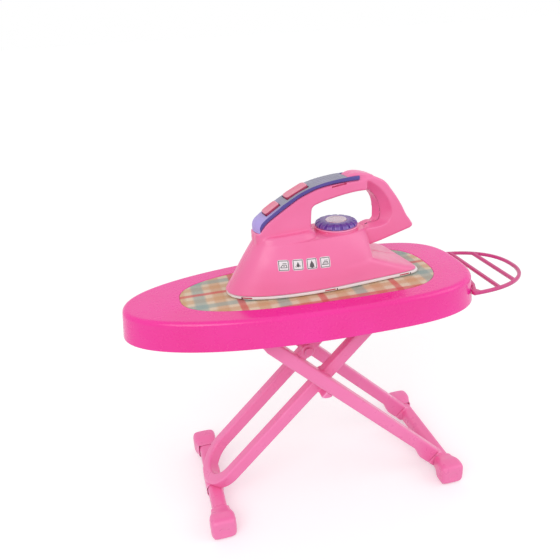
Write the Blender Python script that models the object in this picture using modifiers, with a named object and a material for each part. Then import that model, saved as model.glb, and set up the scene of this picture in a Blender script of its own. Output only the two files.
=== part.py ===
"""Toy ironing board on folding scissor legs, with a toy iron standing on it.

The board's long axis is X, with its rounded nose at -X and the iron rest at +X. The floor is
z = 0 and the origin is at the middle of the whole model's footprint. Sizes are in metres.
"""

import math

import bmesh
import bpy
from mathutils import Matrix

# General clearances
SEAT_GAP = 0.0003
HALF_GAP = SEAT_GAP / 2
CUT_OVERRUN = 0.004
JOIN_OVERLAP = 0.0012
MERGE_DISTANCE = 0.00001

# Board tray
DECK_LENGTH = 0.350
DECK_WIDTH = 0.147
DECK_HEIGHT = 0.240
DECK_WIDEST_X = 0.0534
DECK_NOSE_POWER = 2.19
DECK_HEEL_POWER = 3.06
DECK_THICKNESS = 0.0024
SKIRT_DEPTH = 0.0286
SKIRT_WALL = 0.0022
SKIRT_FLARE = 0.0025
DECK_EDGE_RADIUS = 0.0050
DECK_EDGE_STEPS = 3
DECK_OUTLINE_POINTS = 64
STIFFENER_THICKNESS = 0.0018
STIFFENER_DEPTH = 0.0060
STIFFENER_REACH = 0.0850
STIFFENER_OFFSET = 0.0170
CROSS_STIFFENER_SPAN = 0.0800
CROSS_STIFFENER_SHARES = (-0.30, -0.06, 0.16)

# Checked cover panel
PANEL_LENGTH = 0.2572
PANEL_WIDTH = 0.1070
PANEL_CENTRE_X = 0.0086
PANEL_WIDEST_X = 0.0773
PANEL_POWER = 2.63
PANEL_THICKNESS = 0.0008
PANEL_RECESS = 0.0009
PANEL_OUTLINE_POINTS = 52

# Iron rest
REST_REACH = 0.0690
REST_ROOT_INSET = 0.0100
REST_HALF_WIDTH = 0.0545
REST_POWER = 2.3
REST_RAIL = 0.0036
REST_THICKNESS = 0.0036
REST_DROP = 0.0180
REST_BAR_WIDTH = 0.0038
REST_BAR_SHARES = (0.40, 0.70)
REST_ROUNDING = 0.0010
REST_ROOT_HALF_SPAN = 0.0500
REST_TONGUE_WIDTH = 0.0140
REST_TONGUE_OFFSET = 0.0300
REST_TONGUE_REACH = 0.0075
REST_ARC_POINTS = 9

# Scissor geometry
LEG_ANGLE = math.radians(44.37)
HINGE_DROP = 0.0216
HINGE_X = -0.0643
TOP_HALF_SPAN = 0.07725
FOOT_AXIS_HEIGHT = 0.0123
INNER_FOOT_INSET = 0.0107
FOLD_TRAVEL = math.radians(38.0)

# Leg bars
BAR_DEPTH = 0.0140
BAR_WIDTH = 0.0120
BAR_ROUNDING = 0.0022
FOOT_BAR_GAP = 0.0004
LEG_GAP = 0.0030
EYE_RADIUS = 0.0075
TONGUE_DEPTH = 0.0110
TONGUE_LENGTH = 0.0240
TONGUE_BLEND = 0.0060
SHOULDER_DEPTH = 0.0050
SHOULDER_LENGTH = 0.0140
SHOULDER_BLEND = 0.0130
STUB_LENGTH = 0.0112
HUB_RADIUS = 0.0078
HUB_RISE = 0.0012
STOP_WEB_RADIUS = 0.0170
STOP_WEB_SIDE = 0.0130
ARC_POINTS = 12

# Rods and pins
ROD_RADIUS = 0.0030
ROD_SEGMENTS = 20
PIN_RADIUS = 0.0030
PIN_HEAD_RADIUS = 0.0046
PIN_HEAD_THICKNESS = 0.0018
PIN_BLIND_DEPTH = 0.0080
EAR_THICKNESS = 0.0030
EAR_WIDTH = 0.0150
EAR_DROP = 0.0062
GUIDE_THICKNESS = 0.0030
GUIDE_LEAD = 0.0100
GUIDE_TAIL = 0.0070
GUIDE_DROP = 0.0064
GUIDE_SIDE_GAP = 0.0050

# Feet
FOOT_HALF_SPAN = 0.0760
FOOT_BAR_WIDTH = 0.0160
FOOT_BAR_HEIGHT = 0.0160
FOOT_BAR_ROUNDING = 0.0040
FOOT_BAR_END_INSET = 0.0060
CAP_LENGTH = 0.0262
CAP_WIDTH = 0.0270
CAP_ROUNDING = 0.0050
# Each station of a cap: place along it and its section, as shares of its length and width
CAP_STATION_SHARES = (
    (0.00, 0.74),
    (0.16, 0.77),
    (0.32, 0.87),
    (0.46, 0.97),
    (0.58, 1.00),
    (0.80, 1.00),
    (0.93, 0.94),
    (1.00, 0.80),
)
CAP_SOLE_SHARE = 0.84
CAP_SOLE_LENGTH = 0.0120
CAP_POWER = 5.0
CAP_OUTLINE_POINTS = 20
SLEEVE_HALF_LENGTH = 0.0190
SLEEVE_WALL = 0.0014
SLEEVE_ROUNDING = 0.0040
ARCH_OVERHANG = 0.0010

# Iron: place on the board
IRON_X = -0.0004
IRON_Y = 0.0030
IRON_HEADING = math.radians(7.0)

# Iron: hull
SOLE_NOSE = 0.0775
SOLE_HEEL = 0.1165
SOLE_HALF_WIDTH = 0.0427
SOLE_WIDEST_X = 0.0500
SOLE_NOSE_POWER = 2.5
SOLE_HEEL_POWER = 9.0
SOLE_HEEL_TAPER = 0.11
SOLE_THICKNESS = 0.0034
SOLE_OUTLINE_POINTS = 40
HOLLOW_OUTLINE_POINTS = 24
HULL_HEIGHT = 0.0545
HULL_WALL = 0.0022
HULL_TOP_NOSE_POWER = 3.4
HULL_TOP_HEEL_POWER = 2.8
HULL_RIM_INSET = 0.0008
# Each station: height, nose, heel, half width and widest place, as shares of the hull's sizes
HULL_STATION_SHARES = (
    (0.000, 0.990, 0.990, 1.000, 0.430),
    (0.050, 0.968, 0.955, 0.978, 0.420),
    (0.130, 0.930, 0.840, 0.945, 0.390),
    (0.220, 0.890, 0.705, 0.910, 0.330),
    (0.320, 0.850, 0.625, 0.865, 0.290),
    (0.520, 0.768, 0.610, 0.775, 0.220),
    (0.740, 0.672, 0.605, 0.650, 0.150),
    (0.830, 0.634, 0.600, 0.590, 0.110),
    (0.868, 0.616, 0.590, 0.560, 0.100),
    (0.876, 0.608, 0.150, 0.500, -0.080),
    (0.965, 0.588, 0.140, 0.450, -0.080),
    (1.000, 0.572, 0.120, 0.400, -0.080),
)

# Iron: handle
HANDLE_WIDTH = 0.0250
HANDLE_ROUNDING = 0.0036
HANDLE_TOP = 0.1050
LOOP_FLOOR = 0.0480
HUMP_WIDTH = 0.0180
HUMP_ROUNDING = 0.0020
# Handle outline: place along the iron and height, as shares of the sole's heel reach and of
# the handle's top, and whether the point is a corner
HANDLE_OUTLINE_SHARES = (
    (-0.300, 0.380, True),
    (-0.385, 0.510, True),
    (-0.388, 0.570, False),
    (-0.325, 0.632, False),
    (-0.215, 0.712, False),
    (-0.086, 0.788, False),
    (0.034, 0.844, False),
    (0.163, 0.882, False),
    (0.378, 0.912, False),
    (0.560, 0.922, True),
    (0.655, 0.930, False),
    (0.735, 0.900, False),
    (0.800, 0.855, False),
    (0.855, 0.780, False),
    (0.918, 0.685, False),
    (0.972, 0.588, False),
    (1.018, 0.490, False),
    (1.072, 0.402, False),
    (1.092, 0.345, False),
    (1.066, 0.316, True),
    (0.760, 0.243, True),
    (0.600, 0.220, True),
)
LOOP_OUTLINE_SHARES = (
    (0.120, 0.400, True),
    (0.120, 0.660, False),
    (0.150, 0.735, False),
    (0.230, 0.768, False),
    (0.400, 0.800, False),
    (0.560, 0.815, False),
    (0.645, 0.812, False),
    (0.710, 0.755, False),
    (0.762, 0.665, False),
    (0.785, 0.570, False),
    (0.780, 0.495, False),
    (0.745, 0.455, False),
    (0.640, 0.440, False),
    (0.560, 0.400, True),
)
HUMP_OUTLINE_SHARES = (
    (0.440, 0.880, True),
    (0.446, 0.965, True),
    (0.490, 0.982, False),
    (0.540, 0.986, False),
    (0.620, 0.968, False),
    (0.690, 0.942, True),
    (0.690, 0.860, True),
)
CURVE_STEPS = 3

# Iron: grip trim, along the same shares as the handle's top
TRIM_STRIPE = 0.0035
TRIM_ROUNDING = 0.0012
TRIM_TAIL_SHARE = 0.555
TRIM_BACK_SHARE = 0.440
TRIM_UNDER_SHARES = (
    (-0.392, 0.565, True),
    (-0.325, 0.640, False),
    (-0.215, 0.718, False),
    (-0.086, 0.794, False),
    (0.034, 0.850, False),
    (0.163, 0.888, False),
    (0.378, 0.917, False),
    (0.555, 0.925, True),
)
TRIM_OVER_SHARES = (
    (0.555, 0.960, True),
    (0.443, 0.957, True),
    (0.436, 0.975, True),
    (0.280, 0.955, False),
    (0.094, 0.908, False),
    (-0.120, 0.812, False),
    (-0.300, 0.708, False),
    (-0.372, 0.640, False),
    (-0.400, 0.580, True),
)

# Iron: buttons
FRONT_BUTTON_X = -0.0250
FRONT_BUTTON_Z = 0.0790
FRONT_BUTTON_TILT = math.radians(-28.0)
FRONT_BUTTON_LENGTH = 0.0165
REAR_BUTTON_X = 0.0005
REAR_BUTTON_Z = 0.0908
REAR_BUTTON_TILT = math.radians(-22.0)
REAR_BUTTON_LENGTH = 0.0240
BUTTON_WIDTH = 0.0135
BUTTON_RISE = 0.0020
BUTTON_DEPTH = 0.0080
BUTTON_ROUNDING = 0.0012
BUTTON_TRAVEL = 0.0016
BUTTON_GAP = 0.0004

# Iron: dial
DIAL_X = 0.0430
DIAL_RADIUS = 0.0210
DIAL_TOP_RADIUS = 0.0165
DIAL_RIM_HEIGHT = 0.0036
DIAL_HEIGHT = 0.0052
DIAL_TEETH = 14
DIAL_NOTCH_RADIUS = 0.0016
DIAL_CAP_RADIUS = 0.0128
DIAL_CAP_THICKNESS = 0.0016
DIAL_CAP_SINK = 0.0012
DIAL_SHAFT_RADIUS = 0.0040
DIAL_SHAFT_LENGTH = 0.0110
COLLAR_RADIUS = 0.0222
COLLAR_HEIGHT = 0.0036
DIAL_STEPS = 42

# Iron: screws on the far side, as places along and up the iron
SCREW_PLACES = {
    "front": (-0.0230, 0.0660),
    "top": (0.0740, 0.0915),
    "rear": (0.1060, 0.0560),
}
SCREW_HEAD_RADIUS = 0.0028
SCREW_HEAD_HEIGHT = 0.0018
SCREW_SHANK_RADIUS = 0.0014
SCREW_HEAD_SINK = 0.0030
SCREW_REACH = 0.0050
SCREW_SEGMENTS = 16

# Derived places
OUTER_BAR_OFFSET = FOOT_HALF_SPAN - CAP_LENGTH - FOOT_BAR_GAP - BAR_WIDTH / 2
INNER_BAR_OFFSET = OUTER_BAR_OFFSET - BAR_WIDTH - LEG_GAP
HINGE_Z = DECK_HEIGHT - HINGE_DROP
CROSS_DISTANCE = TOP_HALF_SPAN / math.cos(LEG_ANGLE)
CROSS_X = HINGE_X + TOP_HALF_SPAN
CROSS_Z = HINGE_Z - CROSS_DISTANCE * math.sin(LEG_ANGLE)
OUTER_REACH = (HINGE_Z - FOOT_AXIS_HEIGHT) / math.sin(LEG_ANGLE)
OUTER_FOOT_X = HINGE_X + OUTER_REACH * math.cos(LEG_ANGLE)
INNER_FOOT_X = (
    CROSS_X
    - (CROSS_Z - FOOT_AXIS_HEIGHT) / math.tan(LEG_ANGLE)
    + INNER_FOOT_INSET
)
SLIDE_TRAVEL = 2 * CROSS_DISTANCE * (
    math.cos(LEG_ANGLE - FOLD_TRAVEL) - math.cos(LEG_ANGLE)
)
REST_ROOT_X = DECK_LENGTH / 2 - REST_ROOT_INSET
REST_TIP_X = DECK_LENGTH / 2 + REST_REACH
MODEL_CENTRE_X = (REST_TIP_X - DECK_LENGTH / 2 - SKIRT_FLARE) / 2
UNDER_DECK_Z = DECK_HEIGHT - DECK_THICKNESS
IRON_Z = DECK_HEIGHT - PANEL_RECESS + SEAT_GAP + PANEL_THICKNESS + SEAT_GAP
DIAL_Z = LOOP_FLOOR + COLLAR_HEIGHT + SEAT_GAP

parts = None
cutters = None


def clear_scene():
    for thing in list(bpy.data.objects):
        bpy.data.objects.remove(thing, do_unlink=True)


def make_collections():
    global parts, cutters
    parts = bpy.data.collections.new("toy_ironing_board")
    cutters = bpy.data.collections.new("toy_ironing_board_cutters")
    cutters.hide_render = True
    bpy.context.scene.collection.children.link(parts)
    bpy.context.scene.collection.children.link(cutters)


def material(name, colour, roughness, metallic=0.0):
    made = bpy.data.materials.new(name)
    made.use_nodes = True
    shader = made.node_tree.nodes["Principled BSDF"]
    shader.inputs["Base Color"].default_value = (*colour, 1.0)
    shader.inputs["Roughness"].default_value = roughness
    shader.inputs["Metallic"].default_value = metallic
    return made


def empty(name, parent, place, turn=(0.0, 0.0, 0.0)):
    made = bpy.data.objects.new(name, None)
    made.empty_display_type = "ARROWS"
    parts.objects.link(made)
    made.parent = parent
    made.location = place
    made.rotation_euler = turn
    return made


def mesh_object(name, mesh):
    made = bpy.data.objects.new(name, mesh)
    parts.objects.link(made)
    return made


def finish(made, parent, look, smooth_angle=math.radians(35)):
    made.parent = parent
    made.data.materials.clear()
    made.data.materials.append(look)
    made.data.shade_smooth()
    made.data.set_sharp_from_angle(angle=smooth_angle)
    return made


def evaluated_mesh(thing):
    bpy.context.view_layer.update()
    graph = bpy.context.evaluated_depsgraph_get()
    return bpy.data.meshes.new_from_object(thing.evaluated_get(graph), depsgraph=graph)


def boolean(body, tool, operation):
    """Applies the tool to the body, both in the same frame, and removes the tool."""
    step = body.modifiers.new("boolean", "BOOLEAN")
    step.operation = operation
    step.object = tool
    mesh = evaluated_mesh(body)
    body.modifiers.clear()
    body.data = mesh
    bpy.data.objects.remove(tool, do_unlink=True)
    return body


def cut(body, tool):
    return boolean(body, tool, "DIFFERENCE")


def join(body, tool):
    return boolean(body, tool, "UNION")


def keep_common(body, tool):
    return boolean(body, tool, "INTERSECT")


def box(name, size, centre, rounding=0.0, segments=2):
    mesh = bpy.data.meshes.new(name)
    shape = bmesh.new()
    bmesh.ops.create_cube(shape, size=1.0)
    bmesh.ops.scale(shape, vec=size, verts=shape.verts)
    if rounding:
        bmesh.ops.bevel(
            shape, geom=shape.edges[:], offset=rounding, segments=segments,
            profile=0.5, affect="EDGES",
        )
    bmesh.ops.translate(shape, vec=centre, verts=shape.verts)
    shape.to_mesh(mesh)
    shape.free()
    return mesh_object(name, mesh)


def cylinder(name, radius, length, centre, axis="Y", segments=ROD_SEGMENTS):
    mesh = bpy.data.meshes.new(name)
    shape = bmesh.new()
    bmesh.ops.create_cone(
        shape, cap_ends=True, segments=segments, radius1=radius, radius2=radius, depth=length
    )
    if axis == "Y":
        bmesh.ops.rotate(
            shape, verts=shape.verts, matrix=Matrix.Rotation(math.pi / 2, 3, "X")
        )
    bmesh.ops.translate(shape, vec=centre, verts=shape.verts)
    shape.to_mesh(mesh)
    shape.free()
    return mesh_object(name, mesh)


def turned(name, profile, steps):
    """Revolves a profile of (radius, height) points, listed top to bottom, about Z."""
    mesh = bpy.data.meshes.new(name)
    mesh.from_pydata(
        [(radius, 0.0, height) for radius, height in profile],
        [(index, index + 1) for index in range(len(profile) - 1)],
        [],
    )
    made = mesh_object(name, mesh)
    screw = made.modifiers.new("turn", "SCREW")
    screw.steps = steps
    screw.render_steps = steps
    screw.use_merge_vertices = True
    screw.merge_threshold = MERGE_DISTANCE
    made.data = evaluated_mesh(made)
    made.modifiers.clear()
    return made


def loft(name, rings):
    """Skins closed rings of equal counts and caps the first and the last."""
    mesh = bpy.data.meshes.new(name)
    shape = bmesh.new()
    loops = [[shape.verts.new(point) for point in ring] for ring in rings]
    count = len(rings[0])
    for low, high in zip(loops, loops[1:]):
        for index in range(count):
            after = (index + 1) % count
            shape.faces.new((low[index], low[after], high[after], high[index]))
    shape.faces.new(loops[0])
    shape.faces.new(loops[-1])
    bmesh.ops.recalc_face_normals(shape, faces=shape.faces)
    shape.to_mesh(mesh)
    shape.free()
    return mesh_object(name, mesh)


def plate(name, outlines, thickness, rounding=0.0, rounding_steps=1, grow=0.0):
    """A flat piece in the XY plane from smooth or cornered outlines, the first one outside."""
    curve = bpy.data.curves.new(name, "CURVE")
    curve.dimensions = "2D"
    curve.fill_mode = "BOTH"
    curve.extrude = thickness / 2 - rounding
    curve.bevel_depth = rounding
    curve.bevel_resolution = rounding_steps
    curve.offset = grow - rounding
    curve.resolution_u = CURVE_STEPS
    for points in outlines:
        spline = curve.splines.new("BEZIER")
        spline.bezier_points.add(len(points) - 1)
        spline.use_cyclic_u = True
        for knot, (along, across, corner) in zip(spline.bezier_points, points):
            knot.co = (along, across, 0.0)
            kind = "VECTOR" if corner else "AUTO"
            knot.handle_left_type = kind
            knot.handle_right_type = kind
    source = mesh_object(name + "_outline", curve)
    mesh = evaluated_mesh(source)
    bpy.data.objects.remove(source, do_unlink=True)
    shape = bmesh.new()
    shape.from_mesh(mesh)
    bmesh.ops.remove_doubles(shape, verts=shape.verts, dist=MERGE_DISTANCE)
    bmesh.ops.recalc_face_normals(shape, faces=shape.faces)
    shape.to_mesh(mesh)
    shape.free()
    return mesh_object(name, mesh)


def polygon_plate(name, outlines, thickness, rounding=0.0, rounding_steps=1):
    """A flat piece from outlines whose points are all joined by straight lines."""
    curve = bpy.data.curves.new(name, "CURVE")
    curve.dimensions = "2D"
    curve.fill_mode = "BOTH"
    curve.extrude = thickness / 2 - rounding
    curve.bevel_depth = rounding
    curve.bevel_resolution = rounding_steps
    curve.offset = -rounding
    for points in outlines:
        spline = curve.splines.new("POLY")
        spline.points.add(len(points) - 1)
        spline.use_cyclic_u = True
        for knot, (along, across) in zip(spline.points, points):
            knot.co = (along, across, 0.0, 1.0)
    source = mesh_object(name + "_outline", curve)
    mesh = evaluated_mesh(source)
    bpy.data.objects.remove(source, do_unlink=True)
    shape = bmesh.new()
    shape.from_mesh(mesh)
    bmesh.ops.remove_doubles(shape, verts=shape.verts, dist=MERGE_DISTANCE)
    bmesh.ops.recalc_face_normals(shape, faces=shape.faces)
    shape.to_mesh(mesh)
    shape.free()
    return mesh_object(name, mesh)


def stand_up(made):
    """Turns a plate from the XY plane into the XZ plane."""
    made.data.transform(Matrix.Rotation(math.pi / 2, 4, "X"))
    return made


def shift(made, offset):
    made.data.transform(Matrix.Translation(offset))
    return made


def egg(nose, heel, half_width, nose_power, heel_power, count, widest=0.0, taper=0.0):
    """Points round an egg outline whose two halves have their own reach and squareness."""
    points = []
    for index in range(count):
        turn = 2 * math.pi * index / count
        along, across = math.cos(turn), math.sin(turn)
        power = heel_power if along > 0 else nose_power
        reach = heel if along > 0 else nose
        share = abs(along) ** (2 / power)
        width = half_width * abs(across) ** (2 / power)
        if along > 0:
            width *= 1 - taper * share * share
        points.append(
            (widest + math.copysign(reach * share, along), math.copysign(width, across))
        )
    return points


def arc(centre, radius, start, end, count):
    return [
        (
            centre[0] + radius * math.cos(start + (end - start) * index / (count - 1)),
            centre[1] + radius * math.sin(start + (end - start) * index / (count - 1)),
        )
        for index in range(count)
    ]


def deck_ring(grow, height):
    outline = egg(
        DECK_LENGTH / 2 + DECK_WIDEST_X + grow,
        DECK_LENGTH / 2 - DECK_WIDEST_X + grow,
        DECK_WIDTH / 2 + grow,
        DECK_NOSE_POWER,
        DECK_HEEL_POWER,
        DECK_OUTLINE_POINTS,
        DECK_WIDEST_X,
    )
    return [(along, across, height) for along, across in outline]


def deck_end_x(across, grow=0.0):
    """The blunt end of the deck's outline at a distance from the middle line."""
    share = abs(across) / (DECK_WIDTH / 2 + grow)
    reach = DECK_LENGTH / 2 - DECK_WIDEST_X + grow
    return DECK_WIDEST_X + reach * (1 - share**DECK_HEEL_POWER) ** (1 / DECK_HEEL_POWER)


def skirt_grow(drop):
    """How far the skirt has flared at a depth below the deck."""
    return SKIRT_FLARE * (drop - DECK_EDGE_RADIUS) / (SKIRT_DEPTH - DECK_EDGE_RADIUS)


def panel_outline(gap=0.0):
    half = PANEL_LENGTH / 2
    return egg(
        half + PANEL_WIDEST_X - PANEL_CENTRE_X + gap,
        half - PANEL_WIDEST_X + PANEL_CENTRE_X + gap,
        PANEL_WIDTH / 2 + gap,
        PANEL_POWER,
        PANEL_POWER,
        PANEL_OUTLINE_POINTS,
        PANEL_WIDEST_X,
    )


def prism(name, outline, low, high):
    return loft(
        name,
        [[(x, y, low) for x, y in outline], [(x, y, high) for x, y in outline]],
    )


def board_tray():
    rings = []
    for step in range(DECK_EDGE_STEPS, -1, -1):
        turn = math.pi / 2 * step / DECK_EDGE_STEPS
        rings.append(
            deck_ring(
                -DECK_EDGE_RADIUS * (1 - math.cos(turn)),
                DECK_HEIGHT - DECK_EDGE_RADIUS * (1 - math.sin(turn)),
            )
        )
    floor = DECK_HEIGHT - SKIRT_DEPTH
    rings.append(deck_ring(SKIRT_FLARE, floor))
    rings.append(deck_ring(SKIRT_FLARE - SKIRT_WALL, floor))
    inner_turn = DECK_EDGE_RADIUS
    rings.append(deck_ring(-SKIRT_WALL, DECK_HEIGHT - inner_turn))
    rings.append(deck_ring(-inner_turn, UNDER_DECK_Z))
    return loft("board_shell", rings)


def under_deck_block(name, size_x, size_y, low, centre_x, centre_y):
    """A block that hangs from the deck down to a height, sunk a little into the deck."""
    high = UNDER_DECK_Z + JOIN_OVERLAP
    return box(
        name, (size_x, size_y, high - low), (centre_x, centre_y, (low + high) / 2)
    )


def ear_outline():
    """A hinge ear seen from the side: straight up into the deck, round below."""
    half = EAR_WIDTH / 2
    top = UNDER_DECK_Z + JOIN_OVERLAP
    round_part = arc((HINGE_X, HINGE_Z), half, math.pi, 2 * math.pi, ARC_POINTS)
    return [(HINGE_X - half, top), *round_part, (HINGE_X + half, top)]


def guide_outline():
    """A guide rib seen from the side, with a long slot for the top rod."""
    start = HINGE_X + 2 * TOP_HALF_SPAN
    low = HINGE_Z - GUIDE_DROP
    high = UNDER_DECK_Z + JOIN_OVERLAP
    rib = [
        (start - GUIDE_LEAD, high),
        (start - GUIDE_LEAD, low),
        (start + SLIDE_TRAVEL + GUIDE_TAIL, low),
        (start + SLIDE_TRAVEL + GUIDE_TAIL, high),
    ]
    radius = ROD_RADIUS + SEAT_GAP
    slot = arc((start, HINGE_Z), radius, math.pi / 2, 3 * math.pi / 2, ARC_POINTS)
    slot += arc(
        (start + SLIDE_TRAVEL, HINGE_Z), radius, -math.pi / 2, math.pi / 2, ARC_POINTS
    )
    return rib, slot


def build_board_shell(frame, look):
    tray = board_tray()
    for side in (-1, 1):
        join(
            tray,
            under_deck_block(
                "stiffener", 2 * STIFFENER_REACH, STIFFENER_THICKNESS,
                UNDER_DECK_Z - STIFFENER_DEPTH, PANEL_CENTRE_X, side * STIFFENER_OFFSET,
            ),
        )
        inner = side * (OUTER_BAR_OFFSET - BAR_WIDTH / 2 - SEAT_GAP - EAR_THICKNESS / 2)
        outer = side * (OUTER_BAR_OFFSET + BAR_WIDTH / 2 + SEAT_GAP + EAR_THICKNESS / 2)
        for across in (inner, outer):
            ear = stand_up(polygon_plate("ear", [ear_outline()], EAR_THICKNESS))
            join(tray, shift(ear, (0.0, across, 0.0)))
        rib, slot = guide_outline()
        guide = stand_up(polygon_plate("guide", [rib, slot], GUIDE_THICKNESS))
        across = INNER_BAR_OFFSET + BAR_WIDTH / 2 + GUIDE_SIDE_GAP + GUIDE_THICKNESS / 2
        join(tray, shift(guide, (0.0, side * across, 0.0)))
        cut(tray, rest_tongue(side, SEAT_GAP, CUT_OVERRUN))
    for share in CROSS_STIFFENER_SHARES:
        join(
            tray,
            under_deck_block(
                "cross_stiffener", STIFFENER_THICKNESS, CROSS_STIFFENER_SPAN,
                UNDER_DECK_Z - STIFFENER_DEPTH, share * DECK_LENGTH, 0.0,
            ),
        )
    cut(
        tray,
        prism(
            "panel_recess", panel_outline(SEAT_GAP),
            DECK_HEIGHT - PANEL_RECESS, DECK_HEIGHT + CUT_OVERRUN,
        ),
    )
    bore_length = 2 * (OUTER_BAR_OFFSET + BAR_WIDTH + CUT_OVERRUN)
    cut(
        tray,
        cylinder("rod_bore", ROD_RADIUS + SEAT_GAP, bore_length, (HINGE_X, 0.0, HINGE_Z)),
    )
    return finish(tray, frame, look)


def build_cover_panel(frame, look):
    low = DECK_HEIGHT - PANEL_RECESS + SEAT_GAP
    panel = prism("cover_panel", panel_outline(), low, low + PANEL_THICKNESS)
    return finish(panel, frame, look)


def rest_half_width(along, inset):
    """Half the rest's width at a place along it, inside its outline by an inset."""
    reach = REST_TIP_X - REST_ROOT_X - inset
    share = min(1.0, max(0.0, (along - REST_ROOT_X) / reach))
    return (REST_HALF_WIDTH - inset) * (1 - share**REST_POWER) ** (1 / REST_POWER)


def rest_tongue(side, gap, extra):
    """The tongue that plugs into the skirt, or with a gap the slot that it needs."""
    start = deck_end_x(REST_TONGUE_OFFSET) - REST_TONGUE_REACH - extra
    end = deck_end_x(REST_TONGUE_OFFSET) + REST_RAIL + extra
    return box(
        "rest_tongue",
        (end - start, REST_TONGUE_WIDTH + 2 * gap, REST_THICKNESS + 2 * gap),
        ((start + end) / 2, side * REST_TONGUE_OFFSET, DECK_HEIGHT - REST_DROP),
    )


def rest_window(start, end, root_gap=None):
    """One opening of the rest, between two places along it or from the root curve."""
    rows = [
        start + (end - start) * (1 - math.cos(math.pi * index / (REST_ARC_POINTS - 1))) / 2
        for index in range(REST_ARC_POINTS)
    ]
    upper = [(along, rest_half_width(along, REST_RAIL)) for along in rows]
    lower = [(along, -across) for along, across in reversed(upper)]
    if root_gap is None:
        return upper + [point for point in lower if abs(point[1]) > 0 or point[0] < end]
    root = []
    half = REST_ROOT_HALF_SPAN - REST_RAIL
    for index in range(REST_ARC_POINTS):
        across = -half + 2 * half * index / (REST_ARC_POINTS - 1)
        root.append((deck_end_x(across, root_gap), across))
    far = [point for point in upper if point[0] > root[-1][0]]
    near = [(along, -across) for along, across in reversed(far)]
    return root + far + near


def build_iron_rest(frame, look):
    grow = skirt_grow(REST_DROP + REST_THICKNESS / 2) + SEAT_GAP
    half = REST_ROOT_HALF_SPAN
    root = []
    for index in range(REST_ARC_POINTS + 1):
        across = -half + 2 * half * index / REST_ARC_POINTS
        root.append((deck_end_x(across, grow), across))
    loop = []
    for index in range(2 * REST_ARC_POINTS + 1):
        turn = math.pi / 2 * index / (2 * REST_ARC_POINTS)
        along = (REST_TIP_X - REST_ROOT_X) * math.sin(turn) ** (2 / REST_POWER)
        across = REST_HALF_WIDTH * math.cos(turn) ** (2 / REST_POWER)
        loop.append((REST_ROOT_X + along, across))
    loop = [point for point in loop if point[0] > root[-1][0]]
    outline = root + loop + [(along, -across) for along, across in reversed(loop[:-1])]
    span = REST_TIP_X - REST_ROOT_X
    bars = [REST_ROOT_X + share * span for share in REST_BAR_SHARES]
    half_bar = REST_BAR_WIDTH / 2
    windows = [
        rest_window(REST_ROOT_X, bars[0] - half_bar, grow + REST_RAIL),
        rest_window(bars[0] + half_bar, bars[1] - half_bar),
        rest_window(bars[1] + half_bar, REST_TIP_X - REST_RAIL),
    ]
    rest = polygon_plate(
        "iron_rest", [outline, *windows], REST_THICKNESS, REST_ROUNDING
    )
    shift(rest, (0.0, 0.0, DECK_HEIGHT - REST_DROP))
    for side in (-1, 1):
        join(rest, rest_tongue(side, 0.0, 0.0))
    return finish(rest, frame, look)


def build_hinge_rod(frame, look):
    length = 2 * (OUTER_BAR_OFFSET + BAR_WIDTH / 2 + SEAT_GAP + EAR_THICKNESS)
    rod = cylinder("hinge_rod", ROD_RADIUS, length, (0.0, 0.0, 0.0))
    rod.location = (HINGE_X, 0.0, HINGE_Z)
    return finish(rod, frame, look)


def outer_leg_outline():
    """An outer bar seen from the side, from its eye at the origin along +X to the foot."""
    end = OUTER_REACH - STUB_LENGTH
    half = BAR_DEPTH / 2
    neck = TONGUE_DEPTH / 2
    shoulder = end - SHOULDER_LENGTH
    lean = math.asin(neck / EYE_RADIUS)
    eye = arc((0.0, 0.0), EYE_RADIUS, lean, 2 * math.pi - lean, ARC_POINTS)
    under = [
        (TONGUE_LENGTH, -neck),
        (TONGUE_LENGTH + TONGUE_BLEND, -half),
        (shoulder - SHOULDER_BLEND, -half),
        (shoulder, -half - SHOULDER_DEPTH),
        (end, -half - SHOULDER_DEPTH),
    ]
    over = [(end, half), (TONGUE_LENGTH + TONGUE_BLEND, half), (TONGUE_LENGTH, neck)]
    return eye + under + over


def build_outer_leg(name, side, axis, look):
    bar = polygon_plate(name, [outer_leg_outline()], BAR_WIDTH, BAR_ROUNDING)
    stand_up(bar)
    shift(bar, (0.0, side * OUTER_BAR_OFFSET, 0.0))
    long_bore = BAR_WIDTH + 2 * CUT_OVERRUN
    cut(
        bar,
        cylinder(
            "eye_bore", ROD_RADIUS + SEAT_GAP, long_bore, (0.0, side * OUTER_BAR_OFFSET, 0.0)
        ),
    )
    inner_face = OUTER_BAR_OFFSET - BAR_WIDTH / 2
    bore_start = inner_face - CUT_OVERRUN
    bore_end = inner_face + PIN_BLIND_DEPTH
    cut(
        bar,
        cylinder(
            "pin_bore", PIN_RADIUS + SEAT_GAP, bore_end - bore_start,
            (CROSS_DISTANCE, side * (bore_start + bore_end) / 2, 0.0),
        ),
    )
    return finish(bar, axis, look)


def foot_bar_shape(name):
    length = 2 * (FOOT_HALF_SPAN - FOOT_BAR_END_INSET)
    return box(
        name, (FOOT_BAR_WIDTH, length, FOOT_BAR_HEIGHT), (0.0, 0.0, 0.0),
        FOOT_BAR_ROUNDING,
    )


def build_outer_foot_bar(axis, look):
    """The bar is level with the floor, so it is turned back by the leg's angle."""
    bar = foot_bar_shape("outer_foot_bar")
    bar.data.transform(Matrix.Rotation(-LEG_ANGLE, 4, "Y"))
    for side in (-1, 1):
        depth = BAR_DEPTH + SHOULDER_DEPTH
        stub = box(
            "stub", (STUB_LENGTH - SEAT_GAP, BAR_WIDTH, depth),
            (-(STUB_LENGTH - SEAT_GAP) / 2, side * OUTER_BAR_OFFSET, -SHOULDER_DEPTH / 2),
            BAR_ROUNDING,
        )
        join(bar, stub)
    bar.location = (OUTER_REACH, 0.0, 0.0)
    return finish(bar, axis, look)


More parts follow.
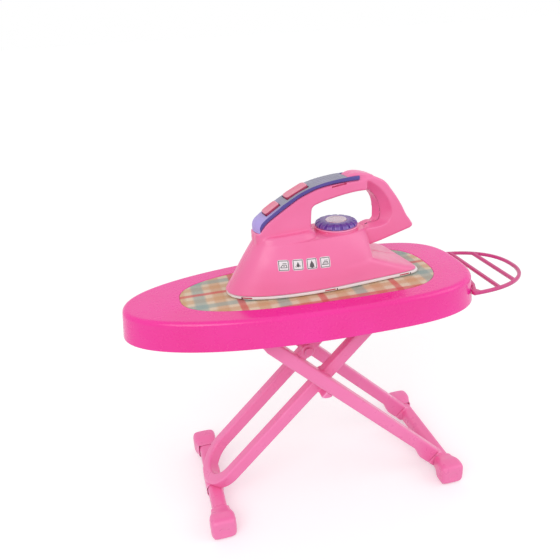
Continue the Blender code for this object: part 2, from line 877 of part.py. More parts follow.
def build_foot_cap(name, side, centre_x, axis, turn, look):
    """A rounded block with a flat underside and a pocket for the end of the foot bar."""
    rings = []
    for along, share in CAP_STATION_SHARES:
        across = side * (FOOT_HALF_SPAN - CAP_LENGTH * (1 - along))
        ring = egg(
            CAP_WIDTH / 2 * share, CAP_WIDTH / 2 * share, FOOT_AXIS_HEIGHT * share,
            CAP_POWER, CAP_POWER, CAP_OUTLINE_POINTS,
        )
        rings.append([(x, across, z) for x, z in ring])
    cap = loft(name, rings)
    sole = box(
        "cap_sole",
        (CAP_WIDTH * CAP_SOLE_SHARE, CAP_SOLE_LENGTH, FOOT_AXIS_HEIGHT),
        (
            0.0,
            side * (FOOT_HALF_SPAN - CAP_ROUNDING / 2 - CAP_SOLE_LENGTH / 2),
            -FOOT_AXIS_HEIGHT / 2,
        ),
    )
    join(cap, sole)
    pocket_start = FOOT_HALF_SPAN - CAP_LENGTH - CUT_OVERRUN
    pocket_end = FOOT_HALF_SPAN - FOOT_BAR_END_INSET + SEAT_GAP
    pocket = box(
        "cap_pocket",
        (
            FOOT_BAR_WIDTH + 2 * SEAT_GAP,
            pocket_end - pocket_start,
            FOOT_BAR_HEIGHT + 2 * SEAT_GAP,
        ),
        (0.0, side * (pocket_start + pocket_end) / 2, 0.0),
    )
    cut(cap, pocket)
    cap.data.transform(Matrix.Rotation(turn, 4, "Y"))
    cap.location = centre_x
    return finish(cap, axis, look)


def build_pivot_pin(name, side, axis, look):
    """A pin from a blind hole in the outer bar through the inner hub, headed inside."""
    outer_end = OUTER_BAR_OFFSET - BAR_WIDTH / 2 + PIN_BLIND_DEPTH - SEAT_GAP
    inner_face = INNER_BAR_OFFSET - BAR_WIDTH / 2 - HUB_RISE - SEAT_GAP
    inner_end = inner_face - PIN_HEAD_THICKNESS
    shank = cylinder(
        name, PIN_RADIUS, outer_end - inner_end, (0.0, side * (outer_end + inner_end) / 2, 0.0)
    )
    head = cylinder(
        "pin_head", PIN_HEAD_RADIUS, PIN_HEAD_THICKNESS,
        (0.0, side * (inner_face + inner_end) / 2, 0.0),
    )
    join(shank, head)
    shank.location = (CROSS_DISTANCE, 0.0, 0.0)
    return finish(shank, axis, look)


def inner_foot_place():
    """The inner foot bar's centre in the inner frame: along the bars, and below them."""
    along_x = CROSS_X - INNER_FOOT_X
    down_z = CROSS_Z - FOOT_AXIS_HEIGHT
    along = along_x * math.cos(LEG_ANGLE) + down_z * math.sin(LEG_ANGLE)
    below = down_z * math.cos(LEG_ANGLE) - along_x * math.sin(LEG_ANGLE)
    return along, below


def stop_web_outline():
    """A web under the crossing that the outer bar's underside rests against when open."""
    near = BAR_DEPTH / 2 + SEAT_GAP
    low = BAR_DEPTH / 2 - JOIN_OVERLAP
    start = math.asin(low / STOP_WEB_RADIUS)
    end = math.acos(near / STOP_WEB_RADIUS)
    return [(near, low), *arc((0.0, 0.0), STOP_WEB_RADIUS, start, end, ARC_POINTS // 2)]


def build_inner_leg_frame(axis, look):
    """Two bars and a round arch in one moulding, in the frame of the crossing pivot."""
    foot_along, foot_below = inner_foot_place()
    outer = INNER_BAR_OFFSET + BAR_WIDTH / 2
    inner = INNER_BAR_OFFSET - BAR_WIDTH / 2
    bend = foot_along + ARCH_OVERHANG - outer
    top = -CROSS_DISTANCE
    outline = [(top, outer), *arc((bend, 0.0), outer, math.pi / 2, -math.pi / 2, 2 * ARC_POINTS)]
    outline += [(top, -outer), (top, -inner)]
    outline += arc((bend, 0.0), inner, -math.pi / 2, math.pi / 2, 2 * ARC_POINTS)
    outline += [(top, inner)]
    legs = polygon_plate("inner_leg_frame", [outline], BAR_DEPTH, BAR_ROUNDING)
    sleeve = box(
        "sleeve",
        (FOOT_BAR_WIDTH + 2 * SLEEVE_WALL, 2 * SLEEVE_HALF_LENGTH, FOOT_BAR_HEIGHT + 2 * SLEEVE_WALL),
        (0.0, 0.0, 0.0),
        SLEEVE_ROUNDING,
    )
    level = Matrix.Rotation(LEG_ANGLE - math.pi, 4, "Y")
    sleeve.data.transform(Matrix.Translation((foot_along, 0.0, foot_below)) @ level)
    join(legs, sleeve)
    hub_width = BAR_WIDTH + 2 * HUB_RISE
    for side in (-1, 1):
        middle = side * INNER_BAR_OFFSET
        join(legs, cylinder("top_eye", EYE_RADIUS, BAR_WIDTH, (top, middle, 0.0)))
        join(legs, cylinder("hub", HUB_RADIUS, hub_width, (0.0, middle, 0.0), segments=32))
        web = stand_up(polygon_plate("stop_web", [stop_web_outline()], STOP_WEB_SIDE))
        web_middle = side * (outer - JOIN_OVERLAP + STOP_WEB_SIDE / 2)
        join(legs, shift(web, (0.0, web_middle, 0.0)))
    span = 2 * (outer + CUT_OVERRUN)
    cut(legs, cylinder("top_bore", ROD_RADIUS + SEAT_GAP, span, (top, 0.0, 0.0)))
    cut(legs, cylinder("hub_bore", PIN_RADIUS + SEAT_GAP, span, (0.0, 0.0, 0.0)))
    tunnel = box(
        "tunnel",
        (
            FOOT_BAR_WIDTH + 2 * SEAT_GAP,
            span,
            FOOT_BAR_HEIGHT + 2 * SEAT_GAP,
        ),
        (0.0, 0.0, 0.0),
        FOOT_BAR_ROUNDING - SEAT_GAP,
    )
    tunnel.data.transform(Matrix.Translation((foot_along, 0.0, foot_below)) @ level)
    cut(legs, tunnel)
    return finish(legs, axis, look)


def build_inner_foot_bar(axis, look):
    along, below = inner_foot_place()
    bar = foot_bar_shape("inner_foot_bar")
    bar.data.transform(Matrix.Rotation(LEG_ANGLE - math.pi, 4, "Y"))
    bar.location = (along, 0.0, below)
    return finish(bar, axis, look)


def build_inner_top_rod(axis, look):
    reach = INNER_BAR_OFFSET + BAR_WIDTH / 2 + GUIDE_SIDE_GAP + GUIDE_THICKNESS
    rod = cylinder("inner_top_rod", ROD_RADIUS, 2 * reach, (0.0, 0.0, 0.0))
    rod.location = (-CROSS_DISTANCE, 0.0, 0.0)
    return finish(rod, axis, look)


def side_outline(shares):
    """Outline points of the iron's side view from shares of its heel reach and height."""
    return [(x * SOLE_HEEL, z * HANDLE_TOP, corner) for x, z, corner in shares]


def sole_outline(grow=0.0):
    return egg(
        SOLE_NOSE + SOLE_WIDEST_X + grow,
        SOLE_HEEL - SOLE_WIDEST_X + grow,
        SOLE_HALF_WIDTH + grow,
        SOLE_NOSE_POWER,
        SOLE_HEEL_POWER,
        SOLE_OUTLINE_POINTS,
        SOLE_WIDEST_X,
        SOLE_HEEL_TAPER,
    )


def hull(name, inset, low, high, count=SOLE_OUTLINE_POINTS):
    """The iron's lower housing, or with an inset the hollow inside it."""
    rings = []
    low_share = HULL_STATION_SHARES[0]
    stations = [(low, *low_share[1:])]
    for share in HULL_STATION_SHARES[1:]:
        height = SOLE_THICKNESS + SEAT_GAP + share[0] * (HULL_HEIGHT - SOLE_THICKNESS)
        if low < height < high:
            stations.append((height, *share[1:]))
    for height, nose, heel, width, widest in stations:
        level = (height - SOLE_THICKNESS) / (HULL_HEIGHT - SOLE_THICKNESS)
        level = max(0.0, level)
        nose_power = SOLE_NOSE_POWER + (HULL_TOP_NOSE_POWER - SOLE_NOSE_POWER) * level
        heel_power = SOLE_HEEL_POWER + (HULL_TOP_HEEL_POWER - SOLE_HEEL_POWER) * level
        middle = widest * SOLE_HEEL
        ring = egg(
            nose * SOLE_NOSE + middle - inset,
            heel * SOLE_HEEL - middle - inset,
            (SOLE_HALF_WIDTH - HULL_RIM_INSET) * width - inset,
            nose_power,
            heel_power,
            count,
            middle,
            SOLE_HEEL_TAPER,
        )
        rings.append([(x, y, height) for x, y in ring])
    return loft(name, rings)


def button_matrix(x, z, tilt):
    return Matrix.Translation((x, 0.0, z)) @ Matrix.Rotation(tilt, 4, "Y")


BUTTONS = (
    ("iron_button_front", FRONT_BUTTON_X, FRONT_BUTTON_Z, FRONT_BUTTON_TILT, FRONT_BUTTON_LENGTH),
    ("iron_button_rear", REAR_BUTTON_X, REAR_BUTTON_Z, REAR_BUTTON_TILT, REAR_BUTTON_LENGTH),
)


def button_pocket(x, z, tilt, length):
    """The well for a button, deep enough for its travel."""
    depth = BUTTON_DEPTH + BUTTON_TRAVEL + BUTTON_GAP
    rise = BUTTON_RISE + CUT_OVERRUN
    pocket = box(
        "button_pocket",
        (length + 2 * BUTTON_GAP, BUTTON_WIDTH + 2 * BUTTON_GAP, depth + rise),
        (0.0, 0.0, (rise - depth) / 2),
    )
    pocket.data.transform(button_matrix(x, z, tilt))
    return pocket


def build_iron_shells(stand, look):
    """One closed housing, cut along its middle plane into a near and a far half."""
    body = hull("iron_body", 0.0, SOLE_THICKNESS + SEAT_GAP, 2 * HULL_HEIGHT)
    hollow_top = LOOP_FLOOR - HULL_WALL
    cut(
        body,
        hull("hull_hollow", HULL_WALL, -CUT_OVERRUN, hollow_top, HOLLOW_OUTLINE_POINTS),
    )
    handle = plate(
        "handle",
        [side_outline(HANDLE_OUTLINE_SHARES), side_outline(LOOP_OUTLINE_SHARES)],
        HANDLE_WIDTH,
        HANDLE_ROUNDING,
        2,
    )
    join(body, stand_up(handle))
    trim_width = HANDLE_WIDTH + 2 * CUT_OVERRUN
    cut(body, stand_up(plate("trim_seat", [trim_outline()], trim_width, grow=SEAT_GAP)))
    hump = plate("hump", [side_outline(HUMP_OUTLINE_SHARES)], HUMP_WIDTH, HUMP_ROUNDING)
    join(body, stand_up(hump))
    collar = cylinder(
        "collar", COLLAR_RADIUS, COLLAR_HEIGHT + JOIN_OVERLAP,
        (DIAL_X, 0.0, LOOP_FLOOR + (COLLAR_HEIGHT - JOIN_OVERLAP) / 2), "Z", 48,
    )
    join(body, collar)
    shaft_depth = DIAL_SHAFT_LENGTH + CUT_OVERRUN
    cut(
        body,
        cylinder(
            "shaft_bore", DIAL_SHAFT_RADIUS + SEAT_GAP, 2 * shaft_depth,
            (DIAL_X, 0.0, DIAL_Z), "Z",
        ),
    )
    for _, x, z, tilt, length in BUTTONS:
        cut(body, button_pocket(x, z, tilt, length))
    for x, z in SCREW_PLACES.values():
        cut(body, screw_shape("screw_bore", x, z, SEAT_GAP, CUT_OVERRUN))
    half_size = (4 * SOLE_HEEL, 2 * SOLE_HEEL, 4 * HANDLE_TOP)
    shells = []
    for name, side in (("iron_shell_near", -1), ("iron_shell_far", 1)):
        half = mesh_object(name, body.data.copy())
        keep = box(
            "half_space", half_size, (0.0, side * (SOLE_HEEL + HALF_GAP), 0.0)
        )
        keep_common(half, keep)
        shells.append(finish(half, stand, look))
    bpy.data.objects.remove(body, do_unlink=True)
    return shells


def screw_shape(name, x, z, gap, extra):
    """A screw driven from the far side, or with a gap the stepped hole that it needs."""
    face = HANDLE_WIDTH / 2
    head_top = face - SCREW_HEAD_SINK + extra * 2
    head_low = face - SCREW_HEAD_SINK - SCREW_HEAD_HEIGHT - gap
    tip = -SCREW_REACH - gap
    shank = cylinder(
        name, SCREW_SHANK_RADIUS + gap, head_top - tip - extra,
        (x, (head_top - extra + tip) / 2, z), segments=SCREW_SEGMENTS,
    )
    head = cylinder(
        "screw_head", SCREW_HEAD_RADIUS + gap, head_top - head_low,
        (x, (head_top + head_low) / 2, z), segments=SCREW_SEGMENTS,
    )
    return join(shank, head)


def build_iron_soleplate(stand, look):
    outline = sole_outline()
    edge = sole_outline(-SOLE_THICKNESS / 4)
    lip = SOLE_THICKNESS / 4
    rings = [
        [(x, y, 0.0) for x, y in edge],
        [(x, y, lip) for x, y in outline],
        [(x, y, SOLE_THICKNESS - lip) for x, y in outline],
        [(x, y, SOLE_THICKNESS) for x, y in edge],
    ]
    return finish(loft("iron_soleplate", rings), stand, look)


def trim_outline():
    return side_outline(TRIM_UNDER_SHARES) + side_outline(TRIM_OVER_SHARES)


def build_iron_grip_trim(stand, look):
    trim = plate("iron_grip_trim", [trim_outline()], HANDLE_WIDTH, TRIM_ROUNDING)
    stand_up(trim)
    tail_start = TRIM_BACK_SHARE * SOLE_HEEL - SEAT_GAP
    clear = box(
        "hump_clearance",
        (SOLE_HEEL, HUMP_WIDTH + 2 * SEAT_GAP, HANDLE_TOP),
        (tail_start + SOLE_HEEL / 2, 0.0, HANDLE_TOP),
    )
    cut(trim, clear)
    for _, x, z, tilt, length in BUTTONS:
        cut(trim, button_pocket(x, z, tilt, length))
    return finish(trim, stand, look)


def build_iron_buttons(stand, look):
    for name, x, z, tilt, length in BUTTONS:
        height = BUTTON_DEPTH + BUTTON_RISE
        button = box(
            name, (length, BUTTON_WIDTH, height),
            (0.0, 0.0, (BUTTON_RISE - BUTTON_DEPTH) / 2), BUTTON_ROUNDING,
        )
        button.location = (x, 0.0, z)
        button.rotation_euler = (0.0, tilt, 0.0)
        finish(button, stand, look)


def build_iron_dial(stand, look, cap_look):
    top = DIAL_HEIGHT
    cap_floor = top - DIAL_CAP_SINK
    seat = DIAL_CAP_RADIUS + SEAT_GAP
    profile = [
        (0.0, cap_floor),
        (seat, cap_floor),
        (seat, top),
        (DIAL_TOP_RADIUS, top),
        (DIAL_RADIUS, DIAL_RIM_HEIGHT),
        (DIAL_RADIUS, 0.0),
        (DIAL_SHAFT_RADIUS, 0.0),
        (DIAL_SHAFT_RADIUS, -DIAL_SHAFT_LENGTH),
        (0.0, -DIAL_SHAFT_LENGTH),
    ]
    dial = turned("iron_dial", profile, DIAL_STEPS)
    for index in range(DIAL_TEETH):
        turn = 2 * math.pi * (index + 0.5) / DIAL_TEETH
        place = (DIAL_RADIUS * math.cos(turn), DIAL_RADIUS * math.sin(turn), DIAL_HEIGHT / 2)
        cut(
            dial,
            cylinder("notch", DIAL_NOTCH_RADIUS, 2 * DIAL_HEIGHT, place, "Z", segments=8),
        )
    dial.location = (DIAL_X, 0.0, DIAL_Z)
    finish(dial, stand, look)
    low = cap_floor + SEAT_GAP
    cap = turned(
        "iron_dial_cap",
        [
            (0.0, low + DIAL_CAP_THICKNESS),
            (DIAL_CAP_RADIUS - DIAL_CAP_THICKNESS / 2, low + DIAL_CAP_THICKNESS),
            (DIAL_CAP_RADIUS, low + DIAL_CAP_THICKNESS / 2),
            (DIAL_CAP_RADIUS, low),
            (0.0, low),
        ],
        DIAL_STEPS,
    )
    cap.location = (DIAL_X, 0.0, DIAL_Z)
    finish(cap, stand, cap_look)


def build_iron_screws(stand, look):
    for name, (x, z) in SCREW_PLACES.items():
        finish(screw_shape("iron_screw_" + name, x, z, 0.0, 0.0), stand, look)


def build():
    clear_scene()
    make_collections()
    tray_pink = material("hot_pink_tray", (0.90, 0.06, 0.42), 0.32)
    leg_pink = material("candy_pink_legs", (0.90, 0.24, 0.50), 0.38)
    rest_pink = material("raspberry_rest", (0.62, 0.04, 0.25), 0.34)
    iron_pink = material("iron_pink", (0.88, 0.22, 0.42), 0.34)
    checked = material("checked_cover", (0.78, 0.66, 0.52), 0.75)
    white = material("white_sole", (0.88, 0.84, 0.84), 0.35)
    purple = material("purple_grip", (0.22, 0.14, 0.50), 0.45)
    salmon = material("salmon_buttons", (0.88, 0.30, 0.40), 0.35)
    silver = material("silver_cap", (0.72, 0.70, 0.72), 0.30, 0.6)
    steel = material("screw_steel", (0.50, 0.50, 0.52), 0.35, 1.0)

    frame = empty("board_frame", None, (-MODEL_CENTRE_X, 0.0, 0.0))
    build_board_shell(frame, tray_pink)
    build_cover_panel(frame, checked)
    build_iron_rest(frame, rest_pink)
    build_hinge_rod(frame, leg_pink)

    outer_axis = empty(
        "outer_fold_axis", frame, (HINGE_X, 0.0, HINGE_Z), (0.0, LEG_ANGLE, 0.0)
    )
    inner_turn = math.pi - LEG_ANGLE
    inner_axis = empty("inner_fold_axis", frame, (CROSS_X, 0.0, CROSS_Z), (0.0, inner_turn, 0.0))
    build_outer_foot_bar(outer_axis, leg_pink)
    build_inner_leg_frame(inner_axis, leg_pink)
    build_inner_foot_bar(inner_axis, leg_pink)
    build_inner_top_rod(inner_axis, leg_pink)
    along, below = inner_foot_place()
    for label, side in (("near", -1), ("far", 1)):
        build_outer_leg("outer_leg_" + label, side, outer_axis, leg_pink)
        build_pivot_pin("pivot_pin_" + label, side, outer_axis, leg_pink)
        build_foot_cap(
            "outer_foot_cap_" + label, side, (OUTER_REACH, 0.0, 0.0), outer_axis,
            -LEG_ANGLE, leg_pink,
        )
        build_foot_cap(
            "inner_foot_cap_" + label, side, (along, 0.0, below), inner_axis,
            LEG_ANGLE - math.pi, leg_pink,
        )

    stand = empty("iron_stand", frame, (IRON_X, IRON_Y, IRON_Z), (0.0, 0.0, IRON_HEADING))
    build_iron_shells(stand, iron_pink)
    build_iron_soleplate(stand, white)
    build_iron_grip_trim(stand, purple)
    build_iron_buttons(stand, salmon)
    build_iron_dial(stand, purple, silver)
    build_iron_screws(stand, steel)
    bpy.context.view_layer.update()


build()
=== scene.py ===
"""Looks of the toy ironing board: its moulded plastics, checked cover, folding legs and toy iron.

Sizes are in metres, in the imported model's frame: +X runs from the board's rounded nose to the
iron rest, +Z is up, and the near long side is at -Y.
"""

import logging
import math
from contextlib import contextmanager
from dataclasses import dataclass, field
from enum import Enum
from typing import Any, Callable, Iterator, Sequence

import bmesh
import bpy
from mathutils import Matrix, Vector


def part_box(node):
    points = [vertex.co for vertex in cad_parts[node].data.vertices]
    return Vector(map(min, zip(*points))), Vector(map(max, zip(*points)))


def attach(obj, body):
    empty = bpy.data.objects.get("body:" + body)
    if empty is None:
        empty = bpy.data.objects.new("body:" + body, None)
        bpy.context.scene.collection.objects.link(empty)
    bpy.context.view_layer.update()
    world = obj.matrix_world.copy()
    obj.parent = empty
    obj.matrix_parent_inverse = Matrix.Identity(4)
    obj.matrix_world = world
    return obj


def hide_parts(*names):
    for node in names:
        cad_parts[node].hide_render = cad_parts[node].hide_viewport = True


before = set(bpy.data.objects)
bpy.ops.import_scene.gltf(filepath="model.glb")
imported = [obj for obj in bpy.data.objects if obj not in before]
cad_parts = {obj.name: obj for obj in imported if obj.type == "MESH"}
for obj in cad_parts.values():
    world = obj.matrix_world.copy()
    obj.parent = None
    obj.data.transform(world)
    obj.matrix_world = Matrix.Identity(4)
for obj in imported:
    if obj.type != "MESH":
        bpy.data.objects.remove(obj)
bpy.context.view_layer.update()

Colour = tuple[float, float, float]
Flat = tuple[float, float]
Point = tuple[float, float, float]
Knot = tuple[float, float, bool]
Piece = bpy.types.Object
Look = bpy.types.Material

LOG = logging.getLogger("toy_ironing_board")
MERGE_DISTANCE = 0.00001
SEAT_GAP = 0.0003
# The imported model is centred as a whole, which moves its board along X by this much
BOARD_SHIFT = -0.03325


class Body(Enum):
    """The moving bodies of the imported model."""

    BOARD = "board"
    OUTER = "outer_frame"
    INNER = "inner_frame"
    IRON = "iron"
    DIAL = "dial"
    FRONT_BUTTON = "button_front"
    REAR_BUTTON = "button_rear"


class Slot(Enum):
    """The record's material slots."""

    TRAY = "tray"
    COVER = "cover"
    REST = "rest"
    LEGS = "legs"
    IRON = "iron"
    SOLE = "sole"
    GRIP = "grip"
    BUTTONS = "buttons"
    CAP = "cap"
    SCREWS = "screws"


# Modelling steps


def at_rest() -> None:
    """Leaves edit mode and selects nothing."""
    if bpy.context.object and bpy.context.object.mode != "OBJECT":
        bpy.ops.object.mode_set(mode="OBJECT")
    bpy.ops.object.select_all(action="DESELECT")


def pick(piece: Piece) -> None:
    """Makes a piece the only selected and active one.

    Args:
        piece: The object to work on.
    """
    at_rest()
    piece.select_set(True)
    bpy.context.view_layer.objects.active = piece


@contextmanager
def editing(piece: Piece, select: str = "DESELECT") -> Iterator[bmesh.types.BMesh]:
    """Opens a piece in edit mode and gives its edit mesh.

    Args:
        piece: The object to edit.
        select: What to select first, "SELECT" or "DESELECT".

    Yields:
        The piece's edit mesh.
    """
    pick(piece)
    bpy.ops.object.mode_set(mode="EDIT")
    bpy.ops.mesh.select_mode(type="VERT")
    bpy.ops.mesh.select_all(action=select)
    yield bmesh.from_edit_mesh(piece.data)
    bpy.ops.object.mode_set(mode="OBJECT")


def named(name: str) -> Piece:
    """Names the active object and its mesh.

    Args:
        name: The new name.

    Returns:
        The active object.
    """
    piece = bpy.context.active_object
    piece.name = name
    piece.data.name = name
    return piece


def modify(piece: Piece, kind: str, **settings: Any) -> None:
    """Adds one modifier and applies it.

    Args:
        piece: The object that gets it.
        kind: The modifier's type.
        settings: Its settings by name.
    """
    pick(piece)
    step = piece.modifiers.new(kind.lower(), kind)
    for setting, value in settings.items():
        setattr(step, setting, value)
    bpy.ops.object.modifier_apply(modifier=step.name)


def combine(piece: Piece, tool: Piece, operation: str) -> None:
    """Applies a Boolean with a tool and removes the tool.

    Args:
        piece: The object that is kept.
        tool: The other object.
        operation: DIFFERENCE, UNION or INTERSECT.
    """
    modify(piece, "BOOLEAN", object=tool, operation=operation, solver="EXACT")
    bpy.data.objects.remove(tool, do_unlink=True)


def face_out(piece: Piece) -> None:
    """Merges doubles and turns every face outwards.

    Args:
        piece: The object to mend.
    """
    with editing(piece, "SELECT"):
        bpy.ops.mesh.remove_doubles(threshold=MERGE_DISTANCE)
        bpy.ops.mesh.normals_make_consistent(inside=False)


def smooth(piece: Piece, degrees: float) -> Piece:
    """Shades a piece smooth except over edges sharper than an angle.

    Args:
        piece: The object to shade.
        degrees: The angle.

    Returns:
        The same object.
    """
    pick(piece)
    bpy.ops.object.shade_smooth_by_angle(angle=math.radians(degrees))
    return piece


def soften(piece: Piece, width: float, segments: int, degrees: float) -> None:
    """Rounds every edge sharper than an angle.

    Args:
        piece: The object to round.
        width: The bevel's width.
        segments: Its steps.
        degrees: The angle above which an edge counts as sharp.
    """
    modify(
        piece, "BEVEL", width=width, segments=segments, limit_method="ANGLE",
        angle_limit=math.radians(degrees), miter_outer="MITER_ARC",
    )


def melted(piece: Piece, voxel: float, rounds: int) -> Piece:
    """Remeshes a piece evenly and rounds its edges, as a moulding has them.

    Args:
        piece: The object to remesh.
        voxel: The size of its new faces.
        rounds: How often it is smoothed.

    Returns:
        The same object.
    """
    modify(piece, "REMESH", mode="VOXEL", voxel_size=voxel)
    modify(piece, "SMOOTH", factor=0.5, iterations=rounds)
    return piece


def moved(piece: Piece, place: Matrix) -> Piece:
    """Moves a piece's mesh, so that its object stays at the origin.

    Args:
        piece: The object whose mesh moves.
        place: The move.

    Returns:
        The same object.
    """
    piece.data.transform(place)
    piece.data.update()
    return piece


def key(place: Sequence[float]) -> tuple[int, ...]:
    """A point as whole tenths of a micrometre, which finds it again in a table."""
    return tuple(round(value * 1e7) for value in place)


def close_ring(piece: Piece, span: slice) -> None:
    """Fills one ring of an open skin with a face.

    Args:
        piece: The open skin.
        span: Which of its points the ring is.
    """
    with editing(piece) as mesh:
        mesh.verts.ensure_lookup_table()
        for vertex in mesh.verts[span]:
            vertex.select_set(True)
        mesh.select_flush(True)
        bpy.ops.mesh.edge_face_add()


def skin(name: str, rings: Sequence[Sequence[Point]], capped: bool = True) -> Piece:
    """Pulls a ring of points through a row of stations, as an extrusion placed at each one.

    Args:
        name: The new object's name.
        rings: Rings of equal counts, whose points all differ.
        capped: Whether the first and last ring get a face.

    Returns:
        The new object.
    """
    at_rest()
    count = len(rings[0])
    bpy.ops.mesh.primitive_circle_add(vertices=count, radius=1.0, fill_type="NOTHING")
    piece = named(name)
    for vertex, place in zip(piece.data.vertices, rings[0]):
        vertex.co = place
    with editing(piece, "SELECT"):
        for before, after in zip(rings, rings[1:]):
            bpy.ops.mesh.extrude_edges_move()
            mesh = bmesh.from_edit_mesh(piece.data)
            index = {key(Vector(place)): number for number, place in enumerate(before)}
            for vertex in mesh.verts:
                if vertex.select:
                    vertex.co = after[index[key(vertex.co)]]
            bmesh.update_edit_mesh(piece.data)
        if capped:
            bpy.ops.mesh.edge_face_add()
    if capped:
        close_ring(piece, slice(count))
    face_out(piece)
    return piece


def turned(
    name: str,
    profile: Sequence[Flat],
    steps: int,
    shape: Callable[[float, int], float] | None = None,
) -> Piece:
    """Turns a profile about Z, with both ends closed.

    Args:
        name: The new object's name.
        profile: Radius and height of each station.
        steps: Points round each ring.
        shape: Gives a radius factor from an angle and a station's number.

    Returns:
        The new object.
    """
    rings = []
    for number, (radius, height) in enumerate(profile):
        ring = []
        for step in range(steps):
            turn = 2 * math.pi * step / steps
            reach = radius * (shape(turn, number) if shape else 1.0)
            ring.append((reach * math.cos(turn), reach * math.sin(turn), height))
        rings.append(ring)
    return skin(name, rings)


def block(name: str, size: Point, centre: Point, turn: Matrix | None = None) -> Piece:
    """A box, optionally turned about its own centre.

    Args:
        name: The new object's name.
        size: Its three sides.
        centre: Its middle.
        turn: A rotation about the middle.

    Returns:
        The new object.
    """
    at_rest()
    bpy.ops.mesh.primitive_cube_add(size=1.0)
    piece = named(name)
    place = Matrix.Translation(centre) @ (turn or Matrix.Identity(4))
    return moved(piece, place @ Matrix.Diagonal((*size, 1.0)))


def rod(name: str, radius: float, length: float, centre: Point, axis: str = "Y") -> Piece:
    """A plain round bar along Y or Z.

    Args:
        name: The new object's name.
        radius: Its radius.
        length: Its length.
        centre: Its middle.
        axis: "Y" or "Z".

    Returns:
        The new object.
    """
    at_rest()
    bpy.ops.mesh.primitive_cylinder_add(vertices=48, radius=radius, depth=length)
    piece = named(name)
    lay = Matrix.Rotation(math.pi / 2, 4, "X") if axis == "Y" else Matrix.Identity(4)
    return moved(piece, Matrix.Translation(centre) @ lay)


def ball(name: str, radius: float, centre: Point, flat: float) -> Piece:
    """A ball pressed flat along Y.

    Args:
        name: The new object's name.
        radius: Its radius.
        centre: Its middle.
        flat: Its thickness along Y as a share.

    Returns:
        The new object.
    """
    at_rest()
    bpy.ops.mesh.primitive_uv_sphere_add(segments=48, ring_count=24, radius=radius)
    shape = Matrix.Translation(centre) @ Matrix.Diagonal((1.0, flat, 1.0, 1.0))
    return moved(named(name), shape)


def plate(
    name: str,
    outlines: Sequence[Sequence[Knot]],
    thickness: float,
    rounding: float,
) -> Piece:
    """A flat piece from smooth or cornered outlines, the first one outside.

    Args:
        name: The new object's name.
        outlines: Points as along, up and whether it is a corner.
        thickness: The whole thickness.
        rounding: The radius of its edges.

    Returns:
        The new object, standing in the XZ plane.
    """
    at_rest()
    bpy.ops.curve.primitive_bezier_circle_add()
    source = named(name)
    curve = source.data
    curve.splines.clear()
    curve.dimensions = "2D"
    curve.fill_mode = "BOTH"
    curve.extrude = thickness / 2 - rounding
    curve.bevel_depth = rounding
    curve.bevel_resolution = 4
    curve.offset = -rounding
    curve.resolution_u = 8
    for points in outlines:
        spline = curve.splines.new("BEZIER")
        spline.bezier_points.add(len(points) - 1)
        spline.use_cyclic_u = True
        for knot, (along, up, corner) in zip(spline.bezier_points, points):
            knot.co = (along, up, 0.0)
            kind = "VECTOR" if corner else "AUTO"
            knot.handle_left_type = kind
            knot.handle_right_type = kind
    pick(source)
    bpy.ops.object.convert(target="MESH")
    piece = named(name)
    face_out(piece)
    return moved(piece, Matrix.Rotation(math.pi / 2, 4, "X"))


def cad_copy(node: str, name: str) -> Piece:
    """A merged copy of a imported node, which can then be rounded and shaded smooth.

    Args:
        node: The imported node.
        name: The new object's name.

    Returns:
        The copy.
    """
    at_rest()
    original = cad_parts[node]
    piece = bpy.data.objects.new(name, original.data.copy())
    piece.data.name = name
    piece.data.transform(original.matrix_world)
    piece.data.materials.clear()
    bpy.context.scene.collection.objects.link(piece)
    with editing(piece, "SELECT"):
        bpy.ops.mesh.remove_doubles(threshold=MERGE_DISTANCE)
        bpy.ops.mesh.dissolve_limited(angle_limit=math.radians(0.6))
    return piece


def egg(
    nose: float,
    heel: float,
    half_width: float,
    nose_power: float,
    heel_power: float,
    count: int,
    widest: float = 0.0,
    taper: float = 0.0,
) -> list[Flat]:
    """Points round an egg outline whose two halves have their own reach and squareness.

    Args:
        nose: Reach towards -X from the widest place.
        heel: Reach towards +X from it.
        half_width: Half the width there.
        nose_power: Squareness of the nose.
        heel_power: Squareness of the heel.
        count: How many points.
        widest: Where it is widest.
        taper: How much narrower the heel's end is, as a share.

    Returns:
        The points, spaced evenly.
    """
    points = []
    fine = 16 * count
    for index in range(fine):
        turn = 2 * math.pi * index / fine
        along, across = math.cos(turn), math.sin(turn)
        power = heel_power if along > 0 else nose_power
        reach = heel if along > 0 else nose
        share = abs(along) ** (2 / power)
        width = half_width * abs(across) ** (2 / power)
        if along > 0:
            width *= 1 - taper * share * share
        points.append(
            (widest + math.copysign(reach * share, along), math.copysign(width, across))
        )
    return evenly(points, count)


def evenly(points: Sequence[Flat], count: int) -> list[Flat]:
    """Spaces points evenly along a closed outline, from its first point on.

    Args:
        points: The outline.
        count: How many points to give.

    Returns:
        The new points.
    """
    closed = [*points, points[0]]
    steps = [math.dist(a, b) for a, b in zip(closed, closed[1:])]
    spacing = sum(steps) / count
    made, walked, number = [], 0.0, 0
    for index in range(count):
        while walked + steps[number] < index * spacing:
            walked += steps[number]
            number += 1
        share = (index * spacing - walked) / steps[number]
        start, end = closed[number], closed[number + 1]
        made.append(tuple(a + (b - a) * share for a, b in zip(start, end)))
    return made


